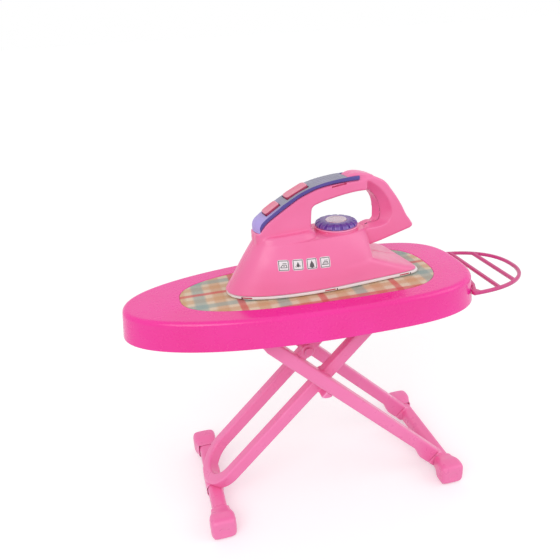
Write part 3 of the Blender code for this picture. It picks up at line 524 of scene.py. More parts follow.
def smoothed(rows: Sequence[Sequence[float]], steps: int) -> list[tuple[float, ...]]:
    """Rows of numbers on a smooth curve through the given rows.

    Args:
        rows: The given rows.
        steps: New rows for each step between two of them.

    Returns:
        All the rows.
    """
    made = []
    last = len(rows) - 1
    for index in range(last):
        before, start = rows[max(index - 1, 0)], rows[index]
        end, after = rows[index + 1], rows[min(index + 2, last)]
        for step in range(steps):
            t = step / steps
            made.append(tuple(
                0.5 * (2 * b + (c - a) * t + (2 * a - 5 * b + 4 * c - d) * t * t
                       + (3 * b - a - 3 * c + d) * t**3)
                for a, b, c, d in zip(before, start, end, after)
            ))
    return [*made, tuple(rows[-1])]


def level(points: Sequence[Flat], height: float) -> list[Point]:
    """Flat points at a height."""
    return [(x, y, height) for x, y in points]


def placed(piece: Piece, body: Body, slot: Slot, look: Look, *nodes: str) -> Piece:
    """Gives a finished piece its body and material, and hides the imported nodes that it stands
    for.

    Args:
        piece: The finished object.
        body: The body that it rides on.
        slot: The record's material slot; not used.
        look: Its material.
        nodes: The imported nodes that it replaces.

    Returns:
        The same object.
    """
    piece.data.materials.clear()
    piece.data.materials.append(look)
    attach(piece, body.value)
    if nodes:
        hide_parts(*nodes)
    LOG.info("%s rides on %s: %d faces", piece.name, body.value, len(piece.data.polygons))
    return piece


# Finishes

# Between these values a noise passes from its low side to its high one
NOISE_SPAN = (0.3, 0.7)
# How much a surface must bend, as pointiness, for the painted edge highlight to show and to show
# fully
EDGE_HIGHLIGHT_SPAN = (0.512, 0.57)
PLASTIC_IOR = 1.48


class Graph:
    """Adds and links the nodes of one material or group."""

    def __init__(self, tree: bpy.types.NodeTree) -> None:
        """Works on a node tree."""
        self.tree = tree

    def node(self, kind: str, inputs: dict[Any, Any] | None = None, **settings: Any) -> Any:
        """Adds a node.

        Args:
            kind: The node's type.
            inputs: Values or sockets for its inputs.
            settings: Its settings by name.

        Returns:
            The node.
        """
        made = self.tree.nodes.new(kind)
        for name, value in settings.items():
            setattr(made, name, value)
        for name, value in (inputs or {}).items():
            if isinstance(value, bpy.types.NodeSocket):
                self.tree.links.new(value, made.inputs[name])
            else:
                made.inputs[name].default_value = value
        return made

    def calc(self, operation: str, *values: Any) -> bpy.types.NodeSocket:
        """Adds a Math node.

        Args:
            operation: Its operation.
            values: Numbers or sockets.

        Returns:
            Its output.
        """
        node = self.node("ShaderNodeMath", dict(enumerate(values)), operation=operation)
        return node.outputs[0]

    def ramp(self, value: Any, low: Any, high: Any, start: float = 0.0, end: float = 1.0) -> Any:
        """Maps a value smoothly from one range to another.

        Args:
            value: A socket.
            low: Where the ramp starts, a number or socket.
            high: Where it ends.
            start: What it gives below.
            end: What it gives above.

        Returns:
            The result's socket.
        """
        node = self.node(
            "ShaderNodeMapRange",
            {0: value, 1: low, 2: high, 3: start, 4: end},
            interpolation_type="SMOOTHSTEP",
        )
        return node.outputs[0]

    def mix(self, share: Any, first: Any, second: Any, blend: str = "MIX") -> Any:
        """Mixes two colours.

        Args:
            share: How much of the second one.
            first: A colour or socket.
            second: A colour or socket.
            blend: The way of mixing.

        Returns:
            The colour's socket.
        """
        node = self.node(
            "ShaderNodeMix", {0: share, 6: full(first), 7: full(second)},
            data_type="RGBA", blend_type=blend,
        )
        return node.outputs[2]

    def noise(self, place: Any, scale: Any, detail: float = 2.0, roughness: float = 0.5) -> Any:
        """Adds a noise texture.

        Args:
            place: The vector socket.
            scale: Its scale, a number or socket.
            detail: Its detail.
            roughness: Its roughness.

        Returns:
            The value's socket.
        """
        node = self.node(
            "ShaderNodeTexNoise",
            {"Vector": place, "Scale": scale, "Detail": detail, "Roughness": roughness},
        )
        return node.outputs[0]


def full(colour: Any) -> Any:
    """A colour with its alpha, or a socket as it is."""
    return (*colour, 1.0) if isinstance(colour, tuple) and len(colour) == 3 else colour


def group(
    name: str,
    inputs: Sequence[tuple[str, str]],
    outputs: Sequence[tuple[str, str]],
    build: Callable[[Graph, Any], Sequence[Any]],
) -> bpy.types.NodeTree:
    """Makes a shader node group.

    Args:
        name: Its name.
        inputs: Name and kind of each input socket.
        outputs: Name and kind of each output socket.
        build: Adds the nodes and gives the output sockets in order.

    Returns:
        The group.
    """
    tree = bpy.data.node_groups.new(name, "ShaderNodeTree")
    for label, kind in inputs:
        tree.interface.new_socket(label, in_out="INPUT", socket_type="NodeSocket" + kind)
    for label, kind in outputs:
        tree.interface.new_socket(label, in_out="OUTPUT", socket_type="NodeSocket" + kind)
    graph = Graph(tree)
    entry = graph.node("NodeGroupInput")
    results = build(graph, entry.outputs)
    graph.node("NodeGroupOutput", {label: made for (label, _), made in zip(outputs, results)})
    return tree


def build_tone_and_edge_highlight(graph: Graph, given: Any) -> Sequence[Any]:
    """Slow drifts of colour, as pigment in moulded plastic has, and a painted highlight that
    lightens convex edges.

    Args:
        graph: The group's graph.
        given: The group's inputs.

    Returns:
        The colour, with the painted edge highlight.
    """
    drift = graph.noise(given["Place"], given["Drift scale"], 2.0)
    cloud = graph.ramp(drift, 0.30, 0.72)
    toned = graph.mix(cloud, given["Colour"], given["Deep colour"])
    # Painted highlight: convex edges, found by pointiness, are lightened towards the edge
    # highlight colour
    bend = graph.node("ShaderNodeNewGeometry").outputs["Pointiness"]
    edge = graph.calc("MULTIPLY", graph.ramp(bend, *EDGE_HIGHLIGHT_SPAN), given["Edge highlight share"])
    return [graph.mix(edge, toned, given["Edge highlight colour"])]


def build_moulded_skin(graph: Graph, given: Any) -> Sequence[Any]:
    """The fine spark-eroded grain and slow flow of a moulded surface.

    Args:
        graph: The group's graph.
        given: The group's inputs.

    Returns:
        The height, from 0 to 1, and the roughness.
    """
    grain = graph.noise(given["Place"], given["Grain scale"], 3.0, 0.6)
    flow = graph.noise(given["Place"], 38.0, 1.0)
    smudge = graph.noise(given["Place"], 90.0, 4.0, 0.65)
    height = graph.calc("ADD", graph.calc("MULTIPLY", grain, 0.35), flow)
    spread = graph.ramp(smudge, 0.35, 0.70, -1.0, 1.0)
    rough = graph.calc("MULTIPLY_ADD", spread, given["Spread"], given["Roughness"])
    return [height, rough]


def build_plain_weave(graph: Graph, given: Any) -> Sequence[Any]:
    """Threads that pass over and under each other, one for one.

    Args:
        graph: The group's graph.
        given: The group's inputs.

    Returns:
        The height, from 0 to 1.
    """
    parts = graph.node("ShaderNodeSeparateXYZ", {0: given["Place"]}).outputs
    counts = [graph.calc("DIVIDE", parts[axis], given["Thread pitch"]) for axis in (0, 1)]
    crowns = [graph.calc("ABSOLUTE", graph.calc("SINE", graph.calc("MULTIPLY", count, math.pi)))
              for count in counts]
    cells = graph.calc("ADD", *[graph.calc("FLOOR", count) for count in counts])
    over = graph.calc("FLOORED_MODULO", cells, 2.0)
    under = graph.calc("SUBTRACT", 1.0, over)
    low, rise = 0.4, 0.6
    heights = [
        graph.calc("MULTIPLY", crown, graph.calc("MULTIPLY_ADD", on_top, rise, low))
        for crown, on_top in zip(crowns, (over, under))
    ]
    return [graph.calc("MULTIPLY", graph.calc("ADD", *heights), 0.6)]


def build_plaid_band(graph: Graph, given: Any) -> Sequence[Any]:
    """One colour of a check: soft-edged stripes that repeat along a coordinate.

    Args:
        graph: The group's graph.
        given: The group's inputs.

    Returns:
        Where the stripes are.
    """
    moved_along = graph.calc("SUBTRACT", given["Along"], given["Centre"])
    away = graph.calc("PINGPONG", moved_along, graph.calc("MULTIPLY", given["Period"], 0.5))
    low = graph.calc("SUBTRACT", given["Half width"], given["Fade"])
    high = graph.calc("ADD", given["Half width"], given["Fade"])
    return [graph.ramp(away, low, high, 1.0, 0.0)]


class Groups:
    """The shader groups that the finishes share."""

    def __init__(self) -> None:
        """Builds each group once."""
        self.tone = group(
            "moulding_tone_and_edge_highlight",
            [("Place", "Vector"), ("Colour", "Color"), ("Deep colour", "Color"),
             ("Edge highlight colour", "Color"), ("Edge highlight share", "Float"), ("Drift scale", "Float")],
            [("Colour", "Color")],
            build_tone_and_edge_highlight,
        )
        self.skin = group(
            "moulded_skin",
            [("Place", "Vector"), ("Grain scale", "Float"), ("Roughness", "Float"),
             ("Spread", "Float")],
            [("Height", "Float"), ("Roughness", "Float")],
            build_moulded_skin,
        )
        self.weave = group(
            "plain_weave",
            [("Place", "Vector"), ("Thread pitch", "Float")],
            [("Height", "Float")],
            build_plain_weave,
        )
        self.band = group(
            "plaid_band",
            [("Along", "Float"), ("Centre", "Float"), ("Period", "Float"),
             ("Half width", "Float"), ("Fade", "Float")],
            [("Mask", "Float")],
            build_plaid_band,
        )


def new_material(name: str) -> tuple[Look, Graph, Any, Any]:
    """An empty material with its shader.

    Args:
        name: Its name.

    Returns:
        The material, its graph, its Principled BSDF and its object coordinates.
    """
    look = bpy.data.materials.new(name)
    look.use_nodes = True
    graph = Graph(look.node_tree)
    shader = look.node_tree.nodes["Principled BSDF"]
    place = graph.node("ShaderNodeTexCoord").outputs["Object"]
    return look, graph, shader, place


def join_shader(
    graph: Graph,
    shader: Any,
    colour: Any,
    roughness: Any,
    height: Any,
    depth: float,
) -> None:
    """Links the colour, roughness and bump of a finish.

    Args:
        graph: The material's graph.
        shader: Its Principled BSDF.
        colour: The colour's socket.
        roughness: The roughness's socket.
        height: The height's socket.
        depth: How deep the height goes, in metres.
    """
    bump = graph.node("ShaderNodeBump", {"Height": height, "Distance": depth, "Strength": 1.0})
    graph.tree.links.new(colour, shader.inputs["Base Color"])
    graph.tree.links.new(roughness, shader.inputs["Roughness"])
    graph.tree.links.new(bump.outputs[0], shader.inputs["Normal"])


@dataclass(frozen=True)
class MouldedPlastic:
    """A coloured plastic with the grain and gloss of its moulding, and a painted highlight on its
    convex edges.
    """

    name: str
    colour: Colour
    deep: Colour
    # The colour of the painted highlight on convex edges, and below it how strongly that highlight
    # is painted
    edge: Colour
    edge_highlight_share: float = 0.35
    drift_scale: float = 14.0
    roughness: float = 0.32
    spread: float = 0.05
    grain_scale: float = 2600.0
    grain_depth: float = 0.000010
    coat: float = 0.15
    coat_roughness: float = 0.16
    metallic: float = 0.0
    # The colour of a painted shade on faces that turn away from up, as on the buttons' sides, and
    # the span over which that shade fades out
    side: Colour | None = None
    up: Point = (0.0, 0.0, 1.0)
    shaded_side_span: Flat = (0.25, 0.75)

    def build(self, groups: Groups) -> Look:
        """Makes the material.

        Args:
            groups: The shared shader groups.

        Returns:
            The material.
        """
        look, graph, shader, place = new_material(self.name)
        colour = graph.node("ShaderNodeGroup", {
            "Place": place, "Colour": full(self.colour), "Deep colour": full(self.deep),
            "Edge highlight colour": full(self.edge), "Edge highlight share": self.edge_highlight_share,
            "Drift scale": self.drift_scale,
        }, node_tree=groups.tone).outputs[0]
        # Painted shade: faces that turn away from up are darkened towards the side colour
        if self.side is not None:
            facing = graph.node("ShaderNodeNewGeometry").outputs["Normal"]
            share = graph.node(
                "ShaderNodeVectorMath", {0: facing, 1: self.up}, operation="DOT_PRODUCT"
            ).outputs["Value"]
            colour = graph.mix(graph.ramp(share, *self.shaded_side_span), self.side, colour)
        surface = graph.node("ShaderNodeGroup", {
            "Place": place, "Grain scale": self.grain_scale, "Roughness": self.roughness,
            "Spread": self.spread,
        }, node_tree=groups.skin).outputs
        join_shader(
            graph, shader, colour, surface["Roughness"], surface["Height"], self.grain_depth,
        )
        shader.inputs["Metallic"].default_value = self.metallic
        shader.inputs["Coat Weight"].default_value = self.coat
        shader.inputs["Coat Roughness"].default_value = self.coat_roughness
        shader.inputs["IOR"].default_value = PLASTIC_IOR
        return look


@dataclass(frozen=True)
class GripRubber:
    """The grip's soft plastic, lilac in front and greyer behind, with a matt grain."""

    name: str
    front: Colour
    rear: Colour
    start: float
    end: float
    drift: float = 0.12
    roughness: float = 0.50
    spread: float = 0.06
    grain_scale: float = 1500.0
    grain_depth: float = 0.00006

    def build(self, groups: Groups) -> Look:
        """Makes the material.

        Args:
            groups: The shared shader groups.

        Returns:
            The material.
        """
        look, graph, shader, place = new_material(self.name)
        along = graph.node("ShaderNodeSeparateXYZ", {0: place}).outputs[0]
        share = graph.ramp(along, self.start, self.end)
        drift = graph.ramp(graph.noise(place, 60.0, 3.0), *NOISE_SPAN, -self.drift, self.drift)
        colour = graph.mix(graph.calc("ADD", share, drift), self.front, self.rear)
        surface = graph.node("ShaderNodeGroup", {
            "Place": place, "Grain scale": self.grain_scale, "Roughness": self.roughness,
            "Spread": self.spread,
        }, node_tree=groups.skin).outputs
        join_shader(
            graph, shader, colour, surface["Roughness"], surface["Height"], self.grain_depth,
        )
        shader.inputs["IOR"].default_value = PLASTIC_IOR
        return look


@dataclass(frozen=True)
class PlaidStripe:
    """One colour of the check, by its place across each way of the cloth."""

    colour: Colour
    strength: float
    centre_x: float
    centre_y: float
    half_x: float
    half_y: float
    fade: float
    period_share: float = 1.0


@dataclass(frozen=True)
class CheckedCloth:
    """The cover's woven check of soft bands on cream."""

    name: str
    ground: Colour
    period_x: float
    period_y: float
    stripes: tuple[PlaidStripe, ...]
    thread_pitch: float = 0.00042
    thread_depth: float = 0.00012
    wander: float = 0.0016
    fibre_shade: Colour = (0.62, 0.50, 0.42)
    fibre_share: float = 0.22
    gap_shade: Colour = (0.45, 0.36, 0.30)
    gap_share: float = 0.25
    roughness: Flat = (0.62, 0.80)

    def build(self, groups: Groups) -> Look:
        """Makes the material.

        Args:
            groups: The shared shader groups.

        Returns:
            The material.
        """
        look, graph, shader, place = new_material(self.name)
        drift = graph.noise(place, 45.0, 1.0)
        parts = graph.node("ShaderNodeSeparateXYZ", {0: place}).outputs
        drawn = [graph.calc("MULTIPLY_ADD", drift, self.wander, parts[axis]) for axis in (0, 1)]
        weave = graph.node(
            "ShaderNodeGroup", {"Place": place, "Thread pitch": self.thread_pitch},
            node_tree=groups.weave,
        ).outputs["Height"]
        colour: Any = full(self.ground)
        for stripe in self.stripes:
            for axis, centre, half, period in (
                (0, stripe.centre_x, stripe.half_x, self.period_x),
                (1, stripe.centre_y, stripe.half_y, self.period_y),
            ):
                band = graph.node("ShaderNodeGroup", {
                    "Along": drawn[axis], "Centre": centre,
                    "Period": period * stripe.period_share, "Half width": half,
                    "Fade": stripe.fade,
                }, node_tree=groups.band)
                share = graph.calc("MULTIPLY", band.outputs[0], stripe.strength)
                colour = graph.mix(share, colour, stripe.colour)
        fibre = graph.noise(place, 900.0, 3.0, 0.7)
        shade = graph.ramp(fibre, *NOISE_SPAN, 0.0, self.fibre_share)
        worn = graph.mix(shade, colour, self.fibre_shade, "MULTIPLY")
        gap = graph.ramp(weave, 0.15, 0.55, self.gap_share, 0.0)
        colour = graph.mix(gap, worn, self.gap_shade, "MULTIPLY")
        rough = graph.ramp(fibre, *NOISE_SPAN, *self.roughness)
        join_shader(graph, shader, colour, rough, weave, self.thread_depth)
        shader.inputs["Sheen Weight"].default_value = 0.15
        shader.inputs["Sheen Roughness"].default_value = 0.5
        shader.inputs["IOR"].default_value = 1.45
        return look


# A pressing iron from the side, as strokes: both ends, and half the width at each
IRON_STROKES = (
    (0.22, 0.31, 0.78, 0.31, 0.032, 0.032), (0.22, 0.31, 0.40, 0.55, 0.032, 0.032),
    (0.40, 0.55, 0.72, 0.55, 0.032, 0.032), (0.72, 0.55, 0.78, 0.31, 0.032, 0.032),
    (0.44, 0.68, 0.74, 0.68, 0.028, 0.028),
)


class SettingMark(Enum):
    """The plain marks of the four tiles, as strokes in shares of the tile."""

    LOW_HEAT = (*IRON_STROKES, (0.52, 0.43, 0.53, 0.43, 0.045, 0.045))
    WATER = (
        (0.50, 0.74, 0.50, 0.44, 0.014, 0.150), (0.68, 0.34, 0.74, 0.42, 0.026, 0.026),
        (0.27, 0.38, 0.32, 0.30, 0.026, 0.026),
    )
    SOLE = (
        (0.50, 0.78, 0.50, 0.42, 0.014, 0.185), (0.50, 0.42, 0.50, 0.33, 0.185, 0.200),
        (0.26, 0.24, 0.74, 0.24, 0.024, 0.024),
    )
    HIGH_HEAT = (
        *IRON_STROKES, (0.42, 0.43, 0.43, 0.43, 0.036, 0.036),
        (0.53, 0.43, 0.54, 0.43, 0.036, 0.036), (0.64, 0.43, 0.65, 0.43, 0.036, 0.036),
    )


@dataclass(frozen=True)
class SettingPrint:
    """A white printed tile with a thin frame and a mark of plain strokes."""

    mark: SettingMark
    paper: Colour = (0.86, 0.82, 0.84)
    worn_paper: Colour = (0.80, 0.74, 0.77)
    ink: Colour = (0.045, 0.035, 0.045)
    frame_line: Flat = (0.372, 0.435)
    blur: float = 0.008
    roughness: Flat = (0.28, 0.36)

    def stroke(self, graph: Graph, parts: Any, row: Sequence[float]) -> Any:
        """Where one stroke is, from 0 to 1.

        Args:
            graph: The material's graph.
            parts: The place on the tile, as separate numbers.
            row: Both ends of the stroke, and its half width at each.

        Returns:
            The mask.
        """
        x, y, x_end, y_end, half, half_end = row
        run, rise = x_end - x, y_end - y
        reach = run * run + rise * rise
        across = graph.calc("SUBTRACT", parts[0], x)
        up = graph.calc("SUBTRACT", parts[1], y)
        share = graph.calc(
            "ADD", graph.calc("MULTIPLY", across, run / reach),
            graph.calc("MULTIPLY", up, rise / reach),
        )
        share = graph.calc("MINIMUM", graph.calc("MAXIMUM", share, 0.0), 1.0)
        aside = graph.calc("SUBTRACT", across, graph.calc("MULTIPLY", share, run))
        above = graph.calc("SUBTRACT", up, graph.calc("MULTIPLY", share, rise))
        away = graph.calc("SQRT", graph.calc(
            "ADD", graph.calc("MULTIPLY", aside, aside), graph.calc("MULTIPLY", above, above)
        ))
        width = graph.calc("MULTIPLY_ADD", share, half_end - half, half)
        past = graph.calc("SUBTRACT", away, width)
        return graph.ramp(past, -self.blur, self.blur, 1.0, 0.0)

    def build(self) -> Look:
        """Makes the material.

        Returns:
            The material.
        """
        look, graph, shader, place = new_material("setting_" + self.mark.name.lower())
        flat = graph.node("ShaderNodeTexCoord").outputs["UV"]
        parts = graph.node("ShaderNodeSeparateXYZ", {0: flat}).outputs
        ink: Any = None
        for row in self.mark.value:
            drawn = self.stroke(graph, parts, row)
            ink = drawn if ink is None else graph.calc("MAXIMUM", ink, drawn)
        sides = [graph.calc("SUBTRACT", parts[axis], 0.5) for axis in (0, 1)]
        reach = graph.calc("MAXIMUM", *[graph.calc("ABSOLUTE", side) for side in sides])
        inner, outer = self.frame_line
        fade_run = 0.015
        line = graph.calc(
            "MULTIPLY", graph.ramp(reach, inner, inner + fade_run),
            graph.ramp(reach, outer, outer + fade_run, 1.0, 0.0),
        )
        ink = graph.calc("MAXIMUM", ink, line)
        fade = graph.noise(place, 1500.0, 2.0)
        ink = graph.calc("MULTIPLY", ink, graph.ramp(fade, 0.2, 0.5, 0.75, 0.95))
        tone = graph.mix(graph.ramp(fade, *NOISE_SPAN), self.paper, self.worn_paper)
        colour = graph.mix(ink, tone, self.ink)
        rough = graph.ramp(fade, *NOISE_SPAN, *self.roughness)
        join_shader(graph, shader, colour, rough, fade, 0.00001)
        return look


@dataclass(frozen=True)
class Wardrobe:
    """Every material of the toy, built once."""

    tray: Look
    cover: Look
    rest: Look
    legs: Look
    iron: Look
    sole: Look
    clip: Look
    shade: Look
    stripe: Look
    pad: Look
    button: Look
    dial: Look
    cap: Look
    screw: Look
    marks: tuple[Look, ...]


# The board


@dataclass
class Board:
    """The tray, its cover, the ribs under it and the iron rest of thin rails."""

    length: float = 0.350
    width: float = 0.147
    height: float = 0.240
    widest_x: float = 0.0534
    nose_power: float = 2.19
    heel_power: float = 3.06
    thickness: float = 0.0024
    skirt_depth: float = 0.0286
    wall: float = 0.0022
    flare: float = 0.0025
    edge: float = 0.0050
    panel_length: float = 0.2572
    panel_width: float = 0.1070
    panel_centre_x: float = 0.0086
    panel_widest_x: float = 0.0773
    panel_power: float = 2.63
    recess: float = 0.0009
    panel_chamfer: float = 0.0004
    lip: float = 0.0005
    inner_round: Flat = (0.0012, 0.0006)
    rib_clearance: float = 0.0009
    panel_thickness: float = 0.0008
    cloth_thickness: float = 0.0005
    cloth_insets: tuple[float, ...] = (
        0.0, 0.0004, 0.0010, 0.0020, 0.0040, 0.0070, 0.0110, 0.0160, 0.0220, 0.0290, 0.0370,
        0.0440, 0.0490,
    )
    cloth_tuck: Flat = (0.0003, 0.0006)
    cloth_wave: float = 0.00006
    points: int = 160

    def deck_ring(self, grow: float, height: float) -> list[Point]:
        """The deck's outline.

        Args:
            grow: How far it grows, or shrinks where negative.
            height: Its height.

        Returns:
            The ring.
        """
        flat = egg(
            self.length / 2 + self.widest_x + grow, self.length / 2 - self.widest_x + grow,
            self.width / 2 + grow, self.nose_power, self.heel_power, self.points, self.widest_x,
        )
        return [(x + BOARD_SHIFT, y, height) for x, y in flat]

    def panel_ring(self, gap: float, height: float) -> list[Point]:
        """The cover panel's outline.

        Args:
            gap: The room round it, or how far inside it lies where negative.
            height: Its height.

        Returns:
            The ring.
        """
        half = self.panel_length / 2
        flat = egg(
            half + self.panel_widest_x - self.panel_centre_x + gap,
            half - self.panel_widest_x + self.panel_centre_x + gap,
            self.panel_width / 2 + gap, self.panel_power, self.panel_power, self.points,
            self.panel_widest_x,
        )
        return [(x + BOARD_SHIFT, y, height) for x, y in flat]

    def build_tray(self, look: Look) -> None:
        """The one-piece tray with its round edge, flared skirt and recess.

        Args:
            look: Its material.
        """
        chamfer, lip = self.panel_chamfer, self.lip
        floor = self.height - self.recess
        low = self.height - self.skirt_depth
        under = self.height - self.thickness
        corner_in, corner_down = self.inner_round
        rings = [
            self.panel_ring(SEAT_GAP, floor),
            self.panel_ring(SEAT_GAP, self.height - chamfer),
            self.panel_ring(SEAT_GAP + chamfer * 0.3, self.height - chamfer * 0.3),
            self.panel_ring(SEAT_GAP + chamfer, self.height),
            self.panel_ring(SEAT_GAP + 2.5 * chamfer, self.height),
            self.panel_ring(SEAT_GAP + 6.0 * chamfer, self.height),
            self.deck_ring(-self.edge - 0.0060, self.height),
            self.deck_ring(-self.edge - 0.0012, self.height),
        ]
        for step in range(11):
            turn = math.pi / 2 * (1 - step / 10)
            rings.append(self.deck_ring(
                -self.edge * (1 - math.cos(turn)), self.height - self.edge * (1 - math.sin(turn))
            ))
        side_top = self.height - self.edge
        for share in (0.06, 0.30, 0.60, 0.93):
            rings.append(self.deck_ring(self.flare * share, side_top - (side_top - low) * share))
        rings += [
            self.deck_ring(self.flare, low + lip),
            self.deck_ring(self.flare - lip * 0.3, low + lip * 0.3),
            self.deck_ring(self.flare - lip, low),
            self.deck_ring(self.flare - self.wall + lip, low),
            self.deck_ring(self.flare - self.wall, low + lip),
            self.deck_ring(-self.wall, side_top),
            self.deck_ring(-self.wall - corner_in, under - corner_down),
            self.deck_ring(-self.edge, under),
        ]
        tray = skin("tray_moulding", rings)
        placed(smooth(tray, 40.0), Body.BOARD, Slot.TRAY, look, "board_shell")

    def build_ribs(self, look: Look) -> None:
        """The ears, guide ribs and stiffeners under the deck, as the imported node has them.

        Args:
            look: Their material.
        """
        hair, clear = 0.00005, self.rib_clearance
        under = self.height - self.thickness
        low = self.height - self.skirt_depth
        corner_in, corner_down = self.inner_round
        core = skin("core", [
            self.deck_ring(self.flare - self.wall - clear, low - hair),
            self.deck_ring(-self.wall - clear, self.height - self.edge),
            self.deck_ring(-self.wall - corner_in - clear, under - corner_down - hair),
            self.deck_ring(-self.edge - clear, under - hair),
        ])
        ribs = cad_copy("board_shell", "tray_ribs")
        combine(ribs, core, "INTERSECT")
        modify(ribs, "TRIANGULATE")
        soften(ribs, 0.0003, 2, 50.0)
        placed(smooth(ribs, 40.0), Body.BOARD, Slot.TRAY, look)

    def build_cover(self, look: Look) -> None:
        """The checked cloth, laid in the recess with its edge tucked down.

        Args:
            look: Its material.
        """
        top = self.height - self.recess + SEAT_GAP + self.panel_thickness
        tuck_depth, tuck_run = self.cloth_tuck
        rings = []
        for inset in self.cloth_insets:
            tuck = tuck_depth * math.exp(-inset / tuck_run)
            wave = self.cloth_wave * (inset > 0.001)
            rings.append([
                (x, y, z - tuck - self.cloth_wave
                 + wave * math.sin(61.0 * x + 1.3) * math.sin(97.0 * y + 0.4))
                for x, y, z in self.panel_ring(-inset, top)
            ])
        cloth = skin("cover_cloth", rings, capped=False)
        close_ring(cloth, slice(-self.points, None))
        with editing(cloth, "SELECT"):
            bpy.ops.mesh.normals_make_consistent(inside=False)
        if cloth.data.polygons[0].normal.z < 0:
            with editing(cloth, "SELECT"):
                bpy.ops.mesh.flip_normals()
        modify(cloth, "SOLIDIFY", thickness=self.cloth_thickness, offset=-1.0)
        placed(smooth(cloth, 50.0), Body.BOARD, Slot.COVER, look, "cover_panel")

    def build_rest(self, look: Look) -> None:
        """The iron rest with its rails and two bars.

        Args:
            look: Its material.
        """
        rest = cad_copy("iron_rest", "rest_frame")
        soften(rest, 0.0003, 2, 50.0)
        placed(smooth(rest, 60.0), Body.BOARD, Slot.REST, look, "iron_rest")

    def build(self, looks: Wardrobe) -> None:
        """Builds the board.

        Args:
            looks: The materials.
        """
        self.build_tray(looks.tray)
        self.build_ribs(looks.tray)
        self.build_cover(looks.cover)
        self.build_rest(looks.rest)


# The legs


@dataclass
class Legs:
    """The crossed leg frames with their rods, pins, bars and foot blocks.

    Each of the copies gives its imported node, its name, its body and how far it is melted.
    """

    copies: tuple[tuple[str, str, Body, float, int], ...] = (
        ("hinge_rod", "top_hinge_rod", Body.BOARD, 0.0006, 4),
        ("outer_leg_near", "outer_bar_near", Body.OUTER, 0.0007, 6),
        ("outer_leg_far", "outer_bar_far", Body.OUTER, 0.0007, 6),
        ("outer_foot_bar", "outer_cross_bar", Body.OUTER, 0.0007, 5),
        ("pivot_pin_near", "cross_pin_near", Body.OUTER, 0.0004, 4),
        ("pivot_pin_far", "cross_pin_far", Body.OUTER, 0.0004, 4),
        ("inner_leg_frame", "inner_bars", Body.INNER, 0.0008, 5),
        ("inner_foot_bar", "inner_cross_bar", Body.INNER, 0.0007, 5),
        ("inner_top_rod", "slide_rod", Body.INNER, 0.0006, 4),
    )
    feet: tuple[tuple[str, str, Body, int], ...] = (
        ("outer_foot_cap_near", "outer_foot_near", Body.OUTER, -1),
        ("outer_foot_cap_far", "outer_foot_far", Body.OUTER, 1),
        ("inner_foot_cap_near", "inner_foot_near", Body.INNER, -1),
        ("inner_foot_cap_far", "inner_foot_far", Body.INNER, 1),
    )
    foot_voxel: float = 0.00055
    foot_rounds: int = 26
    dimple_radius: float = 0.0052
    dimple_depth: float = 0.0007
    dimple_height: float = 0.46

    def build_foot(self, node: str, name: str, side: int) -> Piece:
        """One boot-like foot with a shallow round mark in its end.

        Args:
            node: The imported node.
            name: The piece's name.
            side: -1 on the near side and 1 on the far one.

        Returns:
            The foot.
        """
        low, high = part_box(node)
        foot = melted(cad_copy(node, name), self.foot_voxel, self.foot_rounds)
        end = low[1] if side < 0 else high[1]
        place = ((low[0] + high[0]) / 2, end, low[2] + (high[2] - low[2]) * self.dimple_height)
        mark = ball("mark", self.dimple_radius, place, self.dimple_depth / self.dimple_radius)
        combine(foot, mark, "DIFFERENCE")
        modify(foot, "SMOOTH", factor=0.5, iterations=2)
        return foot

    def build(self, looks: Wardrobe) -> None:
        """Builds the legs.

        Args:
            looks: The materials.
        """
        for node, name, body, voxel, rounds in self.copies:
            piece = melted(cad_copy(node, name), voxel, rounds)
            placed(smooth(piece, 70.0), body, Slot.LEGS, looks.legs, node)
        for node, name, body, side in self.feet:
            piece = self.build_foot(node, name, side)
            placed(smooth(piece, 60.0), body, Slot.LEGS, looks.legs, node)


# The iron


